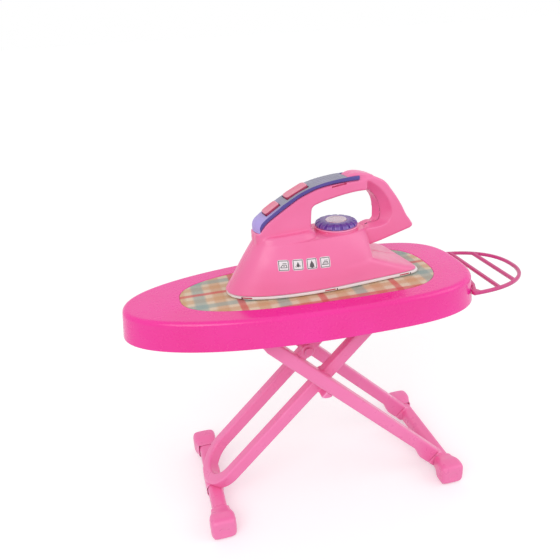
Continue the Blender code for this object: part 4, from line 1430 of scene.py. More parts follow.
@dataclass
class ToyIron:
    """The toy iron, modelled in its own frame: nose at -X, sole at z = 0, near side at -Y."""

    place: Matrix = field(default_factory=lambda: (
        Matrix.Translation((-0.0004 + BOARD_SHIFT, 0.0030, 0.2405))
        @ Matrix.Rotation(math.radians(7.0), 4, "Z")
    ))
    # The sole, from the iron's origin to its nose and heel, and the egg that both outlines are
    sole_nose: float = 0.0748
    sole_heel: float = 0.1165
    sole_tail: float = 0.1180
    sole_half: float = 0.0422
    sole_widest: float = 0.0500
    nose_power: float = 2.2
    heel_power: float = 10.0
    heel_taper: float = -0.015
    sole_thickness: float = 0.0034
    # The hull, whose outline grows squarer at the nose and rounder at the heel as it rises
    hull_height: float = 0.0545
    hull_points: int = 112
    top_nose_power: float = 2.8
    top_heel_power: float = 2.8
    rim_inset: float = 0.0008
    # How the housing is remeshed and cut in two
    voxel: float = 0.0007
    melting_rounds: int = 6
    keep_size: Point = (0.4, 0.1, 0.3)
    parting: float = 0.0004
    # The handle, the hump behind the grip and the post under the grip's front
    handle_width: float = 0.0220
    handle_rounding: float = 0.0026
    handle_top: float = 0.1050
    loop_floor: float = 0.0480
    hump_width: float = 0.0170
    hump_rounding: float = 0.0024
    neck_reach: Flat = (0.0083, 0.0120)
    neck_power: float = 4.0
    neck_inset: float = 0.0002
    neck_x: float = -0.0360
    neck_heights: Flat = (0.0430, 0.0592)
    # The slanting walls inside the hand loop: the near one is cut, the far one is added
    scoop_middle: float = 0.0006
    scoop_over: float = 0.0015
    lip_inset: float = 0.0010
    # The groove along the parting line, with a middle that it runs round
    groove_middle: Flat = (0.0600, 0.0640)
    groove_reach: Flat = (0.0026, 0.0020)
    groove_width: float = 0.0012
    # The dark slot of the latch in the handle's near side
    latch_size: Point = (0.0160, 0.0060, 0.0016)
    latch_spot: Flat = (0.0417, 0.0938)
    latch_tilt: float = -5.0
    # The clips and the slots beside them in the sole's rim, with the slots' shade painted as
    # near-black strips
    strip_depth: float = 0.0010
    strip_faces: Flat = (0.00005, 0.00012)
    strip_bevel: float = 0.0001
    clip_heights: Flat = (0.0017, 0.0029)
    hole_heights: Flat = (0.0010, 0.0030)
    hole_length: float = 0.0013
    # The stripe round the grip and the pad on it, with its ribs and its crowned front
    stripe_rounding: float = 0.0010
    pad_half: float = 0.0102
    pad_lift: float = 0.0004
    pad_depth: float = 0.0016
    pad_steps: int = 22
    pad_points: int = 36
    pad_power: float = 0.7
    rib_zone: Flat = (0.0200, 0.0470)
    rib_pitch: float = 0.0034
    rib_height: float = 0.0005
    lip_bulge: float = 0.0024
    lip_start: float = -0.0310
    lip_run: float = 0.0095
    lip_power: float = 2.6
    # The buttons and the wells that they sink into
    button_width: float = 0.0130
    button_depth: float = 0.0080
    button_rise: float = 0.0025
    button_power: float = 6.0
    button_gap: float = 0.0004
    button_travel: float = 0.0016
    well_room: float = 0.0014
    well_rise: float = 0.0060
    # The dial, its collar, its shaft and the cap sunk in it
    collar_radius: float = 0.0222
    collar_height: float = 0.0036
    shaft_bore: Flat = (0.0052, 0.0300)
    shaft_size: Flat = (0.0040, 0.0120)
    dial_x: float = 0.0430
    dial_radius: float = 0.0210
    dial_height: float = 0.0047
    dial_teeth: int = 16
    notch_depth: float = 0.085
    dial_cap_radius: float = 0.0106
    cap_recess: float = 0.0012
    # The screws on the far side
    screw_face: float = 0.0095
    screw_sink: Flat = (0.0033, 0.0100)
    screw_cross: Point = (0.0034, 0.0020, 0.0007)
    # The setting marks, from the first one on along the near side
    mark_side: float = 0.0106
    mark_step: float = 0.01345
    mark_tilt: float = 3.7
    mark_start: Point = (-0.0256, -0.0600, 0.0309)
    mark_squeeze: float = 0.95
    mark_power: float = 7.0
    mark_points: int = 48
    mark_rings: tuple[float, ...] = (1.0, 0.96, 0.9, 0.8, 0.65, 0.5, 0.35, 0.2, 0.08)
    mark_sink: float = 0.00012
    mark_thickness: float = 0.00022
    # Rings of the hull and of its tail: height, nose, heel, width and widest place, as shares
    body_stations: tuple[tuple[float, ...], ...] = (
        (0.000, 1.010, 0.600, 1.000, 0.400),
        (0.050, 0.987, 0.600, 0.978, 0.400),
        (0.130, 0.945, 0.600, 0.945, 0.375),
        (0.220, 0.899, 0.600, 0.910, 0.330),
        (0.320, 0.852, 0.600, 0.865, 0.290),
        (0.520, 0.762, 0.600, 0.775, 0.220),
        (0.740, 0.658, 0.600, 0.650, 0.150),
        (0.830, 0.616, 0.598, 0.590, 0.110),
        (0.868, 0.596, 0.590, 0.560, 0.100),
        (0.876, 0.585, 0.150, 0.500, -0.080),
        (0.965, 0.560, 0.140, 0.450, -0.080),
        (1.000, 0.545, 0.120, 0.400, -0.080),
    )
    tail_stations: tuple[tuple[float, ...], ...] = (
        (0.000, 0.300, 1.003, 1.000, 0.430),
        (0.040, 0.300, 0.980, 0.985, 0.430),
        (0.090, 0.300, 0.910, 0.962, 0.430),
        (0.200, 0.300, 0.770, 0.925, 0.425),
        (0.300, 0.300, 0.655, 0.885, 0.420),
        (0.375, 0.300, 0.575, 0.830, 0.415),
        (0.382, 0.280, 0.560, 0.800, 0.410),
    )
    # Side views: share of the heel's reach, share of the handle's height, and if it is a corner
    handle_shares: tuple[Knot, ...] = (
        (-0.300, 0.380, True), (-0.352, 0.480, True), (-0.350, 0.572, True),
        (-0.292, 0.642, False), (-0.218, 0.695, False), (-0.144, 0.743, False),
        (-0.070, 0.789, False), (0.004, 0.832, False), (0.078, 0.862, False),
        (0.152, 0.886, False), (0.226, 0.900, False), (0.377, 0.911, False),
        (0.560, 0.910, True), (0.655, 0.928, False), (0.735, 0.900, False),
        (0.800, 0.855, False), (0.855, 0.780, False), (0.918, 0.685, False),
        (0.972, 0.588, False), (1.018, 0.495, False), (1.066, 0.420, False),
        (1.084, 0.376, False), (1.058, 0.350, True), (0.760, 0.275, True),
        (0.600, 0.245, True),
    )
    loop_shares: tuple[Knot, ...] = (
        (0.108, 0.400, True), (0.108, 0.672, False), (0.120, 0.723, False),
        (0.182, 0.752, False), (0.286, 0.774, False), (0.444, 0.798, False),
        (0.575, 0.804, False), (0.640, 0.794, False), (0.700, 0.753, False),
        (0.755, 0.682, False), (0.780, 0.620, False), (0.793, 0.560, False),
        (0.791, 0.502, False), (0.770, 0.462, False), (0.680, 0.452, False),
        (0.560, 0.400, True),
    )
    # The loop's slanting walls: X and Z on the handle's face, then at the parting line
    flare_rows: tuple[tuple[float, ...], ...] = (
        (0.0660, 0.0800, 0.0660, 0.0790), (0.0716, 0.0860, 0.0740, 0.0805),
        (0.0724, 0.0945, 0.0795, 0.0810), (0.0872, 0.0839, 0.0833, 0.0776),
        (0.0953, 0.0733, 0.0880, 0.0716), (0.0995, 0.0643, 0.0908, 0.0651),
        (0.1011, 0.0580, 0.0923, 0.0588), (0.0998, 0.0522, 0.0921, 0.0527),
        (0.0963, 0.0476, 0.0900, 0.0486), (0.0890, 0.0452, 0.0845, 0.0474),
        (0.0790, 0.0448, 0.0780, 0.0472), (0.0715, 0.0470, 0.0715, 0.0478),
        (0.0660, 0.0600, 0.0660, 0.0600), (0.0660, 0.0800, 0.0660, 0.0790),
    )
    inner_lip_rows: tuple[tuple[float, ...], ...] = (
        (0.0790, 0.0812, 0.0780, 0.0822), (0.0817, 0.0779, 0.0834, 0.0779),
        (0.0844, 0.0741, 0.0867, 0.0741), (0.0864, 0.0690, 0.0897, 0.0690),
        (0.0875, 0.0628, 0.0919, 0.0628), (0.0883, 0.0564, 0.0929, 0.0564),
        (0.0881, 0.0500, 0.0920, 0.0500), (0.0866, 0.0472, 0.0890, 0.0470),
        (0.0880, 0.0430, 0.0900, 0.0430), (0.0960, 0.0470, 0.0960, 0.0470),
        (0.0975, 0.0590, 0.0975, 0.0590), (0.0950, 0.0700, 0.0950, 0.0700),
        (0.0895, 0.0790, 0.0895, 0.0790), (0.0830, 0.0850, 0.0830, 0.0850),
        (0.0790, 0.0812, 0.0780, 0.0822),
    )
    # Side views of the hump, the stripe and the pad's upper line
    hump_shares: tuple[Knot, ...] = (
        (0.440, 0.870, True), (0.446, 0.952, True), (0.490, 0.971, False),
        (0.540, 0.976, False), (0.620, 0.959, False), (0.690, 0.932, True),
        (0.690, 0.848, True),
    )
    trim_shares: tuple[Knot, ...] = (
        (-0.348, 0.580, True), (-0.292, 0.647, False), (-0.218, 0.701, False),
        (-0.144, 0.749, False), (-0.070, 0.795, False), (0.004, 0.838, False),
        (0.078, 0.868, False), (0.152, 0.892, False), (0.226, 0.906, False),
        (0.377, 0.917, False), (0.547, 0.915, True), (0.547, 0.951, True),
        (0.453, 0.953, False), (0.377, 0.951, False), (0.301, 0.945, False),
        (0.227, 0.936, False), (0.152, 0.921, False), (0.079, 0.901, False),
        (0.005, 0.872, False), (-0.069, 0.833, False), (-0.142, 0.792, False),
        (-0.216, 0.741, False), (-0.289, 0.691, False), (-0.330, 0.654, False),
        (-0.348, 0.618, True),
    )
    pad_shares: tuple[Flat, ...] = (
        (-0.349, 0.566), (-0.349, 0.590), (-0.348, 0.618), (-0.332, 0.653), (-0.289, 0.692),
        (-0.216, 0.742), (-0.142, 0.791), (-0.069, 0.834), (0.005, 0.873), (0.079, 0.902),
        (0.152, 0.922), (0.227, 0.937), (0.301, 0.946), (0.377, 0.952), (0.436, 0.954),
    )
    # Each button's node, body, X, Z, tilt in degrees and length
    buttons: tuple[tuple[str, Body, float, float, float, float], ...] = (
        ("iron_button_front", Body.FRONT_BUTTON, -0.0250, 0.0785, -30.0, 0.0165),
        ("iron_button_rear", Body.REAR_BUTTON, 0.0005, 0.0914, -23.5, 0.0240),
    )
    # Where each clip begins and ends
    clips: tuple[Flat, ...] = ((-0.0665, -0.0568), (0.0101, 0.0216), (0.0915, 0.1030))
    # Each screw's name, X and Z
    screws: tuple[tuple[str, float, float], ...] = (
        ("front", -0.0230, 0.0660), ("top", 0.0740, 0.0915), ("rear", 0.1060, 0.0560),
    )

    def side(self, shares: Sequence[Knot]) -> list[Knot]:
        """Side-view knots from shares of the iron's heel reach and handle height."""
        return [(x * self.sole_heel, z * self.handle_top, corner) for x, z, corner in shares]

    def hull_ring(self, row: Sequence[float]) -> list[Point]:
        """One station of the hull.

        Args:
            row: Height, nose, heel, width and widest place, as shares.

        Returns:
            The ring.
        """
        share, nose, heel, width, widest = row
        rise = self.hull_height - self.sole_thickness
        height = self.sole_thickness + SEAT_GAP + share * rise
        shift = min(1.0, max(0.0, (height - self.sole_thickness) / rise))
        middle = widest * self.sole_heel
        flat = egg(
            nose * self.sole_nose + middle, heel * self.sole_heel - middle,
            (self.sole_half - self.rim_inset) * width,
            self.nose_power + (self.top_nose_power - self.nose_power) * shift,
            self.heel_power + (self.top_heel_power - self.heel_power) * shift,
            self.hull_points, middle, self.heel_taper,
        )
        return level(flat, height)

    def button_place(self, x: float, z: float, tilt: float) -> Matrix:
        """Where a button stands, leaning with the grip."""
        return Matrix.Translation((x, 0.0, z)) @ Matrix.Rotation(math.radians(tilt), 4, "Y")

    def pockets(self, gap: float) -> list[Piece]:
        """Blocks that cut the wells of both buttons.

        Args:
            gap: The room round a button.

        Returns:
            The two blocks.
        """
        made = []
        for name, _, x, z, tilt, length in self.buttons:
            depth = self.button_depth + self.button_travel + gap
            rise = self.well_rise
            tool = block(
                name + "_well", (length + 2 * gap, self.button_width + 2 * gap, depth + rise),
                (0.0, 0.0, (rise - depth) / 2),
            )
            made.append(moved(tool, self.button_place(x, z, tilt)))
        return made

    def build_shells(self, look: Look, shade: Look) -> list[Piece]:
        """The housing: a hull and handle flowed into one, parted along the middle.

        Args:
            look: Its material.
            shade: The dark material inside the parting groove.

        Returns:
            The near and far halves.
        """
        rows = smoothed(self.body_stations[:9], 4) + list(self.body_stations[9:])
        shell = skin("iron_housing", [self.hull_ring(row) for row in rows])
        tail = skin("tail", [self.hull_ring(row) for row in smoothed(self.tail_stations, 3)])
        combine(shell, tail, "UNION")
        handle = plate(
            "handle", [self.side(self.handle_shares), self.side(self.loop_shares)],
            self.handle_width, self.handle_rounding,
        )
        combine(shell, handle, "UNION")
        combine(shell, self.neck(), "UNION")
        hump_side = [self.side(self.hump_shares)]
        hump = plate("hump", hump_side, self.hump_width, self.hump_rounding)
        combine(shell, hump, "UNION")
        combine(shell, self.scoop("inner_lip", self.inner_lip_rows, 1), "UNION")
        combine(shell, self.scoop("flare", self.flare_rows, -1), "DIFFERENCE")
        for tool in self.pockets(self.well_room):
            combine(shell, tool, "DIFFERENCE")
        bore = rod("shaft_bore", *self.shaft_bore, (self.dial_x, 0.0, self.loop_floor), "Z")
        combine(shell, bore, "DIFFERENCE")
        for name, x, z in self.screws:
            sink = rod(name + "_sink", *self.screw_sink, (x, self.handle_width / 2 + 0.0002, z))
            combine(shell, sink, "DIFFERENCE")
        halves = [
            self.half(shell, name, side)
            for name, side in (("iron_housing_near", -1), ("iron_housing_far", 1))
        ]
        bpy.data.objects.remove(shell, do_unlink=True)
        slot = block("latch_slot", self.latch_size, (0.0, 0.0, 0.0))
        x, z = self.latch_spot
        moved(slot, Matrix.Translation((x, -self.handle_width / 2, z))
              @ Matrix.Rotation(math.radians(self.latch_tilt), 4, "Y"))
        combine(halves[0], slot, "DIFFERENCE")
        for half, node in zip(halves, ("iron_shell_near", "iron_shell_far")):
            combine(half, self.groove(), "DIFFERENCE")
            moved(half, self.place)
            placed(smooth(half, 55.0), Body.IRON, Slot.IRON, look, node)
            self.darken_groove(half, shade)
        return halves

    def neck(self) -> Piece:
        """The round-fronted post under the grip's front lip.

        Returns:
            The post.
        """
        half_width = self.handle_width / 2 - self.neck_inset
        power = self.neck_power
        outline = egg(*self.neck_reach, half_width, power, power, 72, self.neck_x)
        low, high = self.neck_heights
        return skin("neck", [level(outline, z) for z in (low, (low + high) / 2, high)])

    def scoop(self, name: str, rows: Sequence[Sequence[float]], side: int) -> Piece:
        """A slanting wall inside the loop, from the parting line to one face of the handle.

        Args:
            name: Its name.
            rows: Places as x and z on the face and x and z at the parting line.
            side: -1 towards the near face and 1 towards the far one.

        Returns:
            The wedge to add or to cut.
        """
        reach = self.handle_width / 2
        middle = self.scoop_middle if side < 0 else 0.0
        stretch = (reach + (self.scoop_over if side < 0 else -self.lip_inset)) / reach
        face, deep = [], []
        for x, z, x_deep, z_deep in smoothed(rows, 5)[:-1]:
            face.append((
                x_deep + (x - x_deep) * stretch, side * reach * stretch,
                z_deep + (z - z_deep) * stretch,
            ))
            deep.append((x_deep, side * middle, z_deep))
        return skin(name, [face, deep])

    def groove_path(self) -> list[Vector]:
        """The parting line's way along the loop's rear wall, as points of X and Z."""
        return [Vector((row[2], row[3])) for row in smoothed(self.flare_rows[2:11], 4)]

    def darken_groove(self, half: Piece, shade: Look) -> None:
        """Gives the faces inside the parting groove a dark material, as no light reaches them.

        Args:
            half: The half of the housing, in its place.
            shade: The dark material.
        """
        half.data.materials.append(shade)
        back, path = self.place.inverted(), self.groove_path()
        slack = 0.0001
        within, reach = self.groove_width / 2 + slack, self.groove_reach[0] + 2 * slack
        for face in half.data.polygons:
            x, y, z = back @ face.center
            if abs(y) < within and min((Vector((x, z)) - p).length for p in path) < reach:
                face.material_index = 1

    def groove(self) -> Piece:
        """The groove that the parting line makes along the loop's rear wall.

        Returns:
            The wedge to cut.
        """
        middle = Vector(self.groove_middle)
        path = self.groove_path()
        away = [(point - middle).normalized() for point in path]
        deep, shallow = self.groove_reach
        outline = [point + out * deep for point, out in zip(path, away)]
        outline += [point - out * shallow for point, out in zip(reversed(path), reversed(away))]
        half = self.groove_width / 2
        return skin("groove", [[(x, y, z) for x, z in outline] for y in (-half, half)])

    def half(self, shell: Piece, name: str, side: int) -> Piece:
        """One half of the housing, whose rounded edges leave a fine parting line.

        Args:
            shell: The whole housing.
            name: The half's name.
            side: -1 for the near half and 1 for the far one.

        Returns:
            The half.
        """
        pick(shell)
        bpy.ops.object.duplicate()
        half = named(name)
        length, width, height = self.keep_size
        offset = side * (width / 2 + self.parting / 2)
        keep = block("keep", (length, width, height), (0.0, offset, height / 3))
        combine(half, keep, "INTERSECT")
        return melted(half, self.voxel, self.melting_rounds)

    def rim(self, grow: float, count: int) -> list[Flat]:
        """The sole's outline.

        Args:
            grow: How far it grows, or shrinks where negative.
            count: Points round it.

        Returns:
            The outline.
        """
        return egg(
            self.sole_nose + self.sole_widest + grow, self.sole_tail - self.sole_widest + grow,
            self.sole_half + grow, self.nose_power, self.heel_power, count,
            self.sole_widest, self.heel_taper,
        )

    def build_sole(self, looks: Wardrobe) -> None:
        """The white sole, its clips, and near-black strips that paint the shade inside the slots
        beside them.

        Args:
            looks: The materials.
        """
        top = self.sole_thickness
        stations = (
            (-0.0060, 0.0005), (-0.0052, 0.0), (-0.0026, 0.0), (-0.0022, 0.0003),
            (-0.0021, 0.0008), (-0.0006, 0.0008), (-0.0001, 0.0010), (0.0, 0.0014),
            (0.0, top - 0.0010), (-0.0002, top - 0.0004), (-0.0007, top - 0.0001),
            (-0.0012, top),
        )
        sole = skin("sole_plate", [level(self.rim(grow, 144), z) for grow, z in stations])
        moved(sole, self.place)
        placed(smooth(sole, 40.0), Body.IRON, Slot.SOLE, looks.sole, "iron_soleplate")
        for number, (start, end) in enumerate(self.clips, 1):
            hole = start if number == 1 else end + 0.0006
            hole_end = hole + self.hole_length
            for word, side in (("near", -1), ("far", 1)):
                name = f"{word}_{number}"
                # The clips' dark red is partly their own colour and partly painted shade of the
                # slots that they sit in
                self.build_strip(
                    "sole_clip_" + name, start, end, side, self.clip_heights, looks.clip,
                )
                # Painted shade: a near-black strip stands for the shade inside each slot
                self.build_strip(
                    "sole_hole_shade_" + name, hole, hole_end, side, self.hole_heights, looks.shade,
                )

    def build_strip(
        self,
        name: str,
        start: float,
        end: float,
        side: int,
        heights: Flat,
        look: Look,
    ) -> None:
        """A thin strip let into the sole's rim.

        Args:
            name: Its name.
            start: Where it begins along the iron.
            end: Where it ends.
            side: -1 on the near side and 1 on the far one.
            heights: Its lower and upper edge.
            look: Its material.
        """
        path = sorted(
            spot for spot in self.rim(0.0, 2400) if start <= spot[0] <= end and spot[1] * side > 0
        )
        low, high = heights
        edge, face = self.strip_faces
        section = (
            (-self.strip_depth, low), (-self.strip_depth, high), (edge, high),
            (face, high - self.strip_bevel), (face, low + self.strip_bevel), (edge, low),
        )
        rings = []
        for before, after in zip(path, path[2:]):
            along = Vector((after[0] - before[0], after[1] - before[1], 0.0)).normalized()
            out = Vector((-along.y, along.x, 0.0)) * side
            middle = Vector((*after, 0.0))
            rings.append([
                tuple(middle + out * reach + Vector((0.0, 0.0, z))) for reach, z in section
            ])
        strip = skin(name, rings[::4] if len(rings) > 12 else rings)
        moved(strip, self.place)
        placed(smooth(strip, 40.0), Body.IRON, Slot.SOLE, look)

    def build_grip(self, looks: Wardrobe) -> None:
        """The violet stripe round the grip and the crowned, ribbed pad on it.

        Args:
            looks: The materials.
        """
        outline = [self.side(self.trim_shares)]
        stripe = plate("grip_stripe", outline, self.handle_width, self.stripe_rounding)
        clear = block(
            "hump_room", (self.sole_heel, self.hump_width + 2 * SEAT_GAP, self.handle_top),
            (0.44 * self.sole_heel - SEAT_GAP + self.sole_heel / 2, 0.0, self.handle_top),
        )
        combine(stripe, clear, "DIFFERENCE")
        for piece, look, nodes in (
            (stripe, looks.stripe, ("iron_grip_trim",)), (self.pad(), looks.pad, ()),
        ):
            for tool in self.pockets(self.button_gap):
                combine(piece, tool, "DIFFERENCE")
            moved(piece, self.place)
            placed(smooth(piece, 40.0), Body.IRON, Slot.GRIP, look, *nodes)

    def pad(self) -> Piece:
        """The pad, pulled over the grip's round front and along its top, ribbed at the rear.

        Returns:
            The pad.
        """
        path = smoothed(self.pad_shares, self.pad_steps)
        points = [Vector((x * self.sole_heel, 0.0, z * self.handle_top)) for x, z in path]
        last = len(points) - 1
        rings = []
        for index, point in enumerate(points):
            along = (points[min(index + 1, last)] - points[max(index - 1, 0)]).normalized()
            up = Vector((-along.z, 0.0, along.x))
            end = min(index / 3, (last - index) / 5)
            close = math.sqrt(max(0.02, 1 - (1 - min(1.0, end)) ** 2))
            lift_at_top = self.pad_lift
            if self.rib_zone[0] < point.x < self.rib_zone[1]:
                wave = max(0.0, math.sin(2 * math.pi * point.x / self.rib_pitch))
                lift_at_top += self.rib_height * wave ** 0.5
            front = min(1.0, max(0.0, (self.lip_start - point.x) / self.lip_run))
            bulge = self.lip_bulge * front * front * (3 - 2 * front)
            ring = []
            for step in range(self.pad_points):
                turn = 2 * math.pi * step / self.pad_points
                across, rise = math.cos(turn), math.sin(turn)
                share = math.copysign(abs(across) ** self.pad_power, across)
                y = self.pad_half * share * (0.90 + 0.10 * close)
                lift = self.pad_depth * rise
                if rise > 0:
                    crown = bulge * max(0.0, 1 - abs(share) ** self.lip_power)
                    lift = lift_at_top * rise * close + crown
                ring.append(tuple(point + up * lift + Vector((0.0, y, 0.0))))
            rings.append(ring)
        return skin("grip_pad", rings)

    def build_buttons(self, look: Look) -> None:
        """The two push buttons with their dished tops.

        Args:
            look: Their material.
        """
        top = self.button_rise
        profile = (
            (-self.button_depth, 0.97), (-self.button_depth + 0.0003, 1.0), (top - 0.0011, 1.0),
            (top - 0.0005, 0.985), (top - 0.0001, 0.93), (top, 0.86), (top - 0.0002, 0.72),
            (top - 0.0005, 0.50), (top - 0.0006, 0.25),
        )
        for name, body, x, z, tilt, length in self.buttons:
            rings = []
            for height, share in profile:
                reach = length / 2 * share
                half_width = self.button_width / 2 * share
                power = self.button_power
                rings.append(level(egg(reach, reach, half_width, power, power, 56), height))
            button = skin(name.replace("iron_button", "push_button"), rings)
            moved(button, self.place @ self.button_place(x, z, tilt))
            placed(smooth(button, 40.0), body, Slot.BUTTONS, look, name)

    def build_collar(self, look: Look) -> None:
        """The dial's collar, which is fixed to the iron.

        Args:
            look: Its material.
        """
        wide, tall = self.collar_radius, self.collar_height
        collar = turned(
            "dial_collar",
            ((0.0054, -0.0012), (wide - 0.0006, -0.0012), (wide - 0.0006, tall - 0.0015),
             (wide - 0.0001, tall - 0.0011), (wide, tall - 0.0005), (wide - 0.0004, tall),
             (wide - 0.0012, tall), (0.0060, tall), (0.0056, tall)),
            128,
        )
        modify(collar, "WELD", merge_threshold=MERGE_DISTANCE)
        moved(collar, self.place @ Matrix.Translation((self.dial_x, 0.0, self.loop_floor)))
        placed(smooth(collar, 38.0), Body.IRON, Slot.IRON, look)

    def scallop(self, turn: float, station: int) -> float:
        """How the notches between the dial's teeth draw its edge in.

        Args:
            turn: The angle round the dial.
            station: The number of the ring in its profile.

        Returns:
            The share of the ring's radius that is left.
        """
        share = {2: 0.4, 3: 0.8, 4: 1.0, 5: 1.0, 6: 0.9, 7: 0.3}.get(station, 0.0)
        away = abs((turn * self.dial_teeth / (2 * math.pi)) % 1.0 - 0.5)
        notch = min(1.0, max(0.0, (0.20 - away) / 0.05))
        return 1 - self.notch_depth * share * notch

    def build_knob(self, look: Look, spot: Matrix) -> None:
        """The toothed dial on its shaft.

        Args:
            look: Its material.
            spot: Where it stands.
        """
        wide, tall, rim = self.dial_radius, self.dial_height, self.dial_cap_radius
        profile = (
            (0.0100, 0.0), (wide - 0.0004, 0.0), (wide, 0.0004), (wide, 0.0014),
            (wide - 0.0003, 0.0023), (wide - 0.0014, 0.0033), (wide - 0.0034, 0.0041),
            (wide - 0.0054, tall - 0.0002), (0.0140, tall), (rim + 0.0006, tall),
            (rim + 0.0003, tall - 0.0003), (rim + 0.0003, tall - self.cap_recess),
            (0.0040, tall - self.cap_recess),
        )
        knob = turned("dial_knob", profile, 320, self.scallop)
        shaft = rod("dial_shaft", *self.shaft_size, (0.0, 0.0, -0.0050), "Z")
        combine(knob, shaft, "UNION")
        moved(knob, spot)
        placed(smooth(knob, 38.0), Body.DIAL, Slot.GRIP, look, "iron_dial")

    def build_cap(self, look: Look, spot: Matrix) -> None:
        """The silver cap sunk in the dial.

        Args:
            look: Its material.
            spot: Where the dial stands.
        """
        wide = self.dial_cap_radius
        low = self.dial_height - self.cap_recess + SEAT_GAP
        cap = turned(
            "dial_disc",
            ((wide - 0.0004, low), (wide, low + 0.0004), (wide, low + 0.0009),
             (wide - 0.0005, low + 0.0014), (wide - 0.0014, low + 0.0016),
             (wide - 0.0030, low + 0.0016), (wide - 0.0034, low + 0.0013),
             (0.0040, low + 0.0014), (0.0010, low + 0.0015)),
            96,
        )
        moved(cap, spot)
        placed(smooth(cap, 38.0), Body.DIAL, Slot.CAP, look, "iron_dial_cap")

    def build_dial(self, looks: Wardrobe) -> None:
        """The heat dial: collar, knob and cap.

        Args:
            looks: The materials.
        """
        self.build_collar(looks.iron)
        seat = self.loop_floor + self.collar_height + SEAT_GAP
        spot = self.place @ Matrix.Translation((self.dial_x, 0.0, seat))
        self.build_knob(looks.dial, spot)
        self.build_cap(looks.cap, spot)

    def build_screws(self, look: Look) -> None:
        """The three screws with crossed recesses.

        Args:
            look: Their material.
        """
        for name, x, z in self.screws:
            screw = cad_copy("iron_screw_" + name, "housing_screw_" + name)
            moved(screw, self.place.inverted())
            for degrees in (20.0, 110.0):
                turn = Matrix.Rotation(math.radians(degrees), 4, "Y")
                tool = block("recess", self.screw_cross, (x, self.screw_face, z), turn)
                combine(screw, tool, "DIFFERENCE")
            soften(screw, 0.0002, 2, 40.0)
            moved(screw, self.place)
            placed(smooth(screw, 35.0), Body.IRON, Slot.SCREWS, look, "iron_screw_" + name)

    def build_marks(self, looks: Wardrobe, near_half: Piece) -> None:
        """Four printed tiles on the near side, laid on the hull's curve.

        Args:
            looks: The materials.
            near_half: The housing's near half.
        """
        side, tilt = self.mark_side, math.radians(self.mark_tilt)
        start_x, start_y, start_z = self.mark_start
        lean = Matrix.Rotation(tilt, 4, "Y") @ Matrix.Diagonal((1.0, 1.0, self.mark_squeeze, 1.0))
        power = self.mark_power
        flat = egg(side / 2, side / 2, side / 2, power, power, self.mark_points)
        rings = [[(x * share, 0.0, z * share) for x, z in flat] for share in self.mark_rings]
        for number, look in enumerate(looks.marks):
            tile = skin(f"setting_tile_{number + 1}", rings, capped=False)
            close_ring(tile, slice(-self.mark_points, None))
            layer = tile.data.uv_layers.active
            for corner, loop in enumerate(tile.data.loops):
                spot = tile.data.vertices[loop.vertex_index].co
                layer.data[corner].uv = (spot.x / side + 0.5, spot.z / side + 0.5)
            step = self.mark_step * number
            start = (start_x + step, start_y, start_z - step * math.tan(tilt))
            moved(tile, self.place @ Matrix.Translation(start) @ lean)
            self.lay_on(tile, near_half)
            placed(smooth(tile, 50.0), Body.IRON, Slot.SOLE, look)

    def lay_on(self, tile: Piece, carrier: Piece) -> None:
        """Drops a flat tile straight onto the carrier's side and gives it a thickness.

        Args:
            tile: The tile, which stands off the near side.
            carrier: What it lies on.
        """
        inward = (self.place.to_3x3() @ Vector((0.0, 1.0, 0.0))).normalized()
        for vertex in tile.data.vertices:
            hit, place, _, _ = carrier.ray_cast(vertex.co, inward)
            if hit:
                vertex.co = place - inward * self.mark_sink
        tile.data.update()
        outward = sum((face.normal for face in tile.data.polygons), Vector()).dot(inward) < 0
        offset = -1.0 if outward else 1.0
        modify(tile, "SOLIDIFY", thickness=self.mark_thickness, offset=offset)

    def build(self, looks: Wardrobe) -> None:
        """Builds the iron.

        Args:
            looks: The materials.
        """
        near_half = self.build_shells(looks.iron, looks.shade)[0]
        self.build_marks(looks, near_half)
        self.build_sole(looks)
        self.build_grip(looks)
        self.build_buttons(looks.button)
        self.build_dial(looks)
        self.build_screws(looks.screw)


# The studio


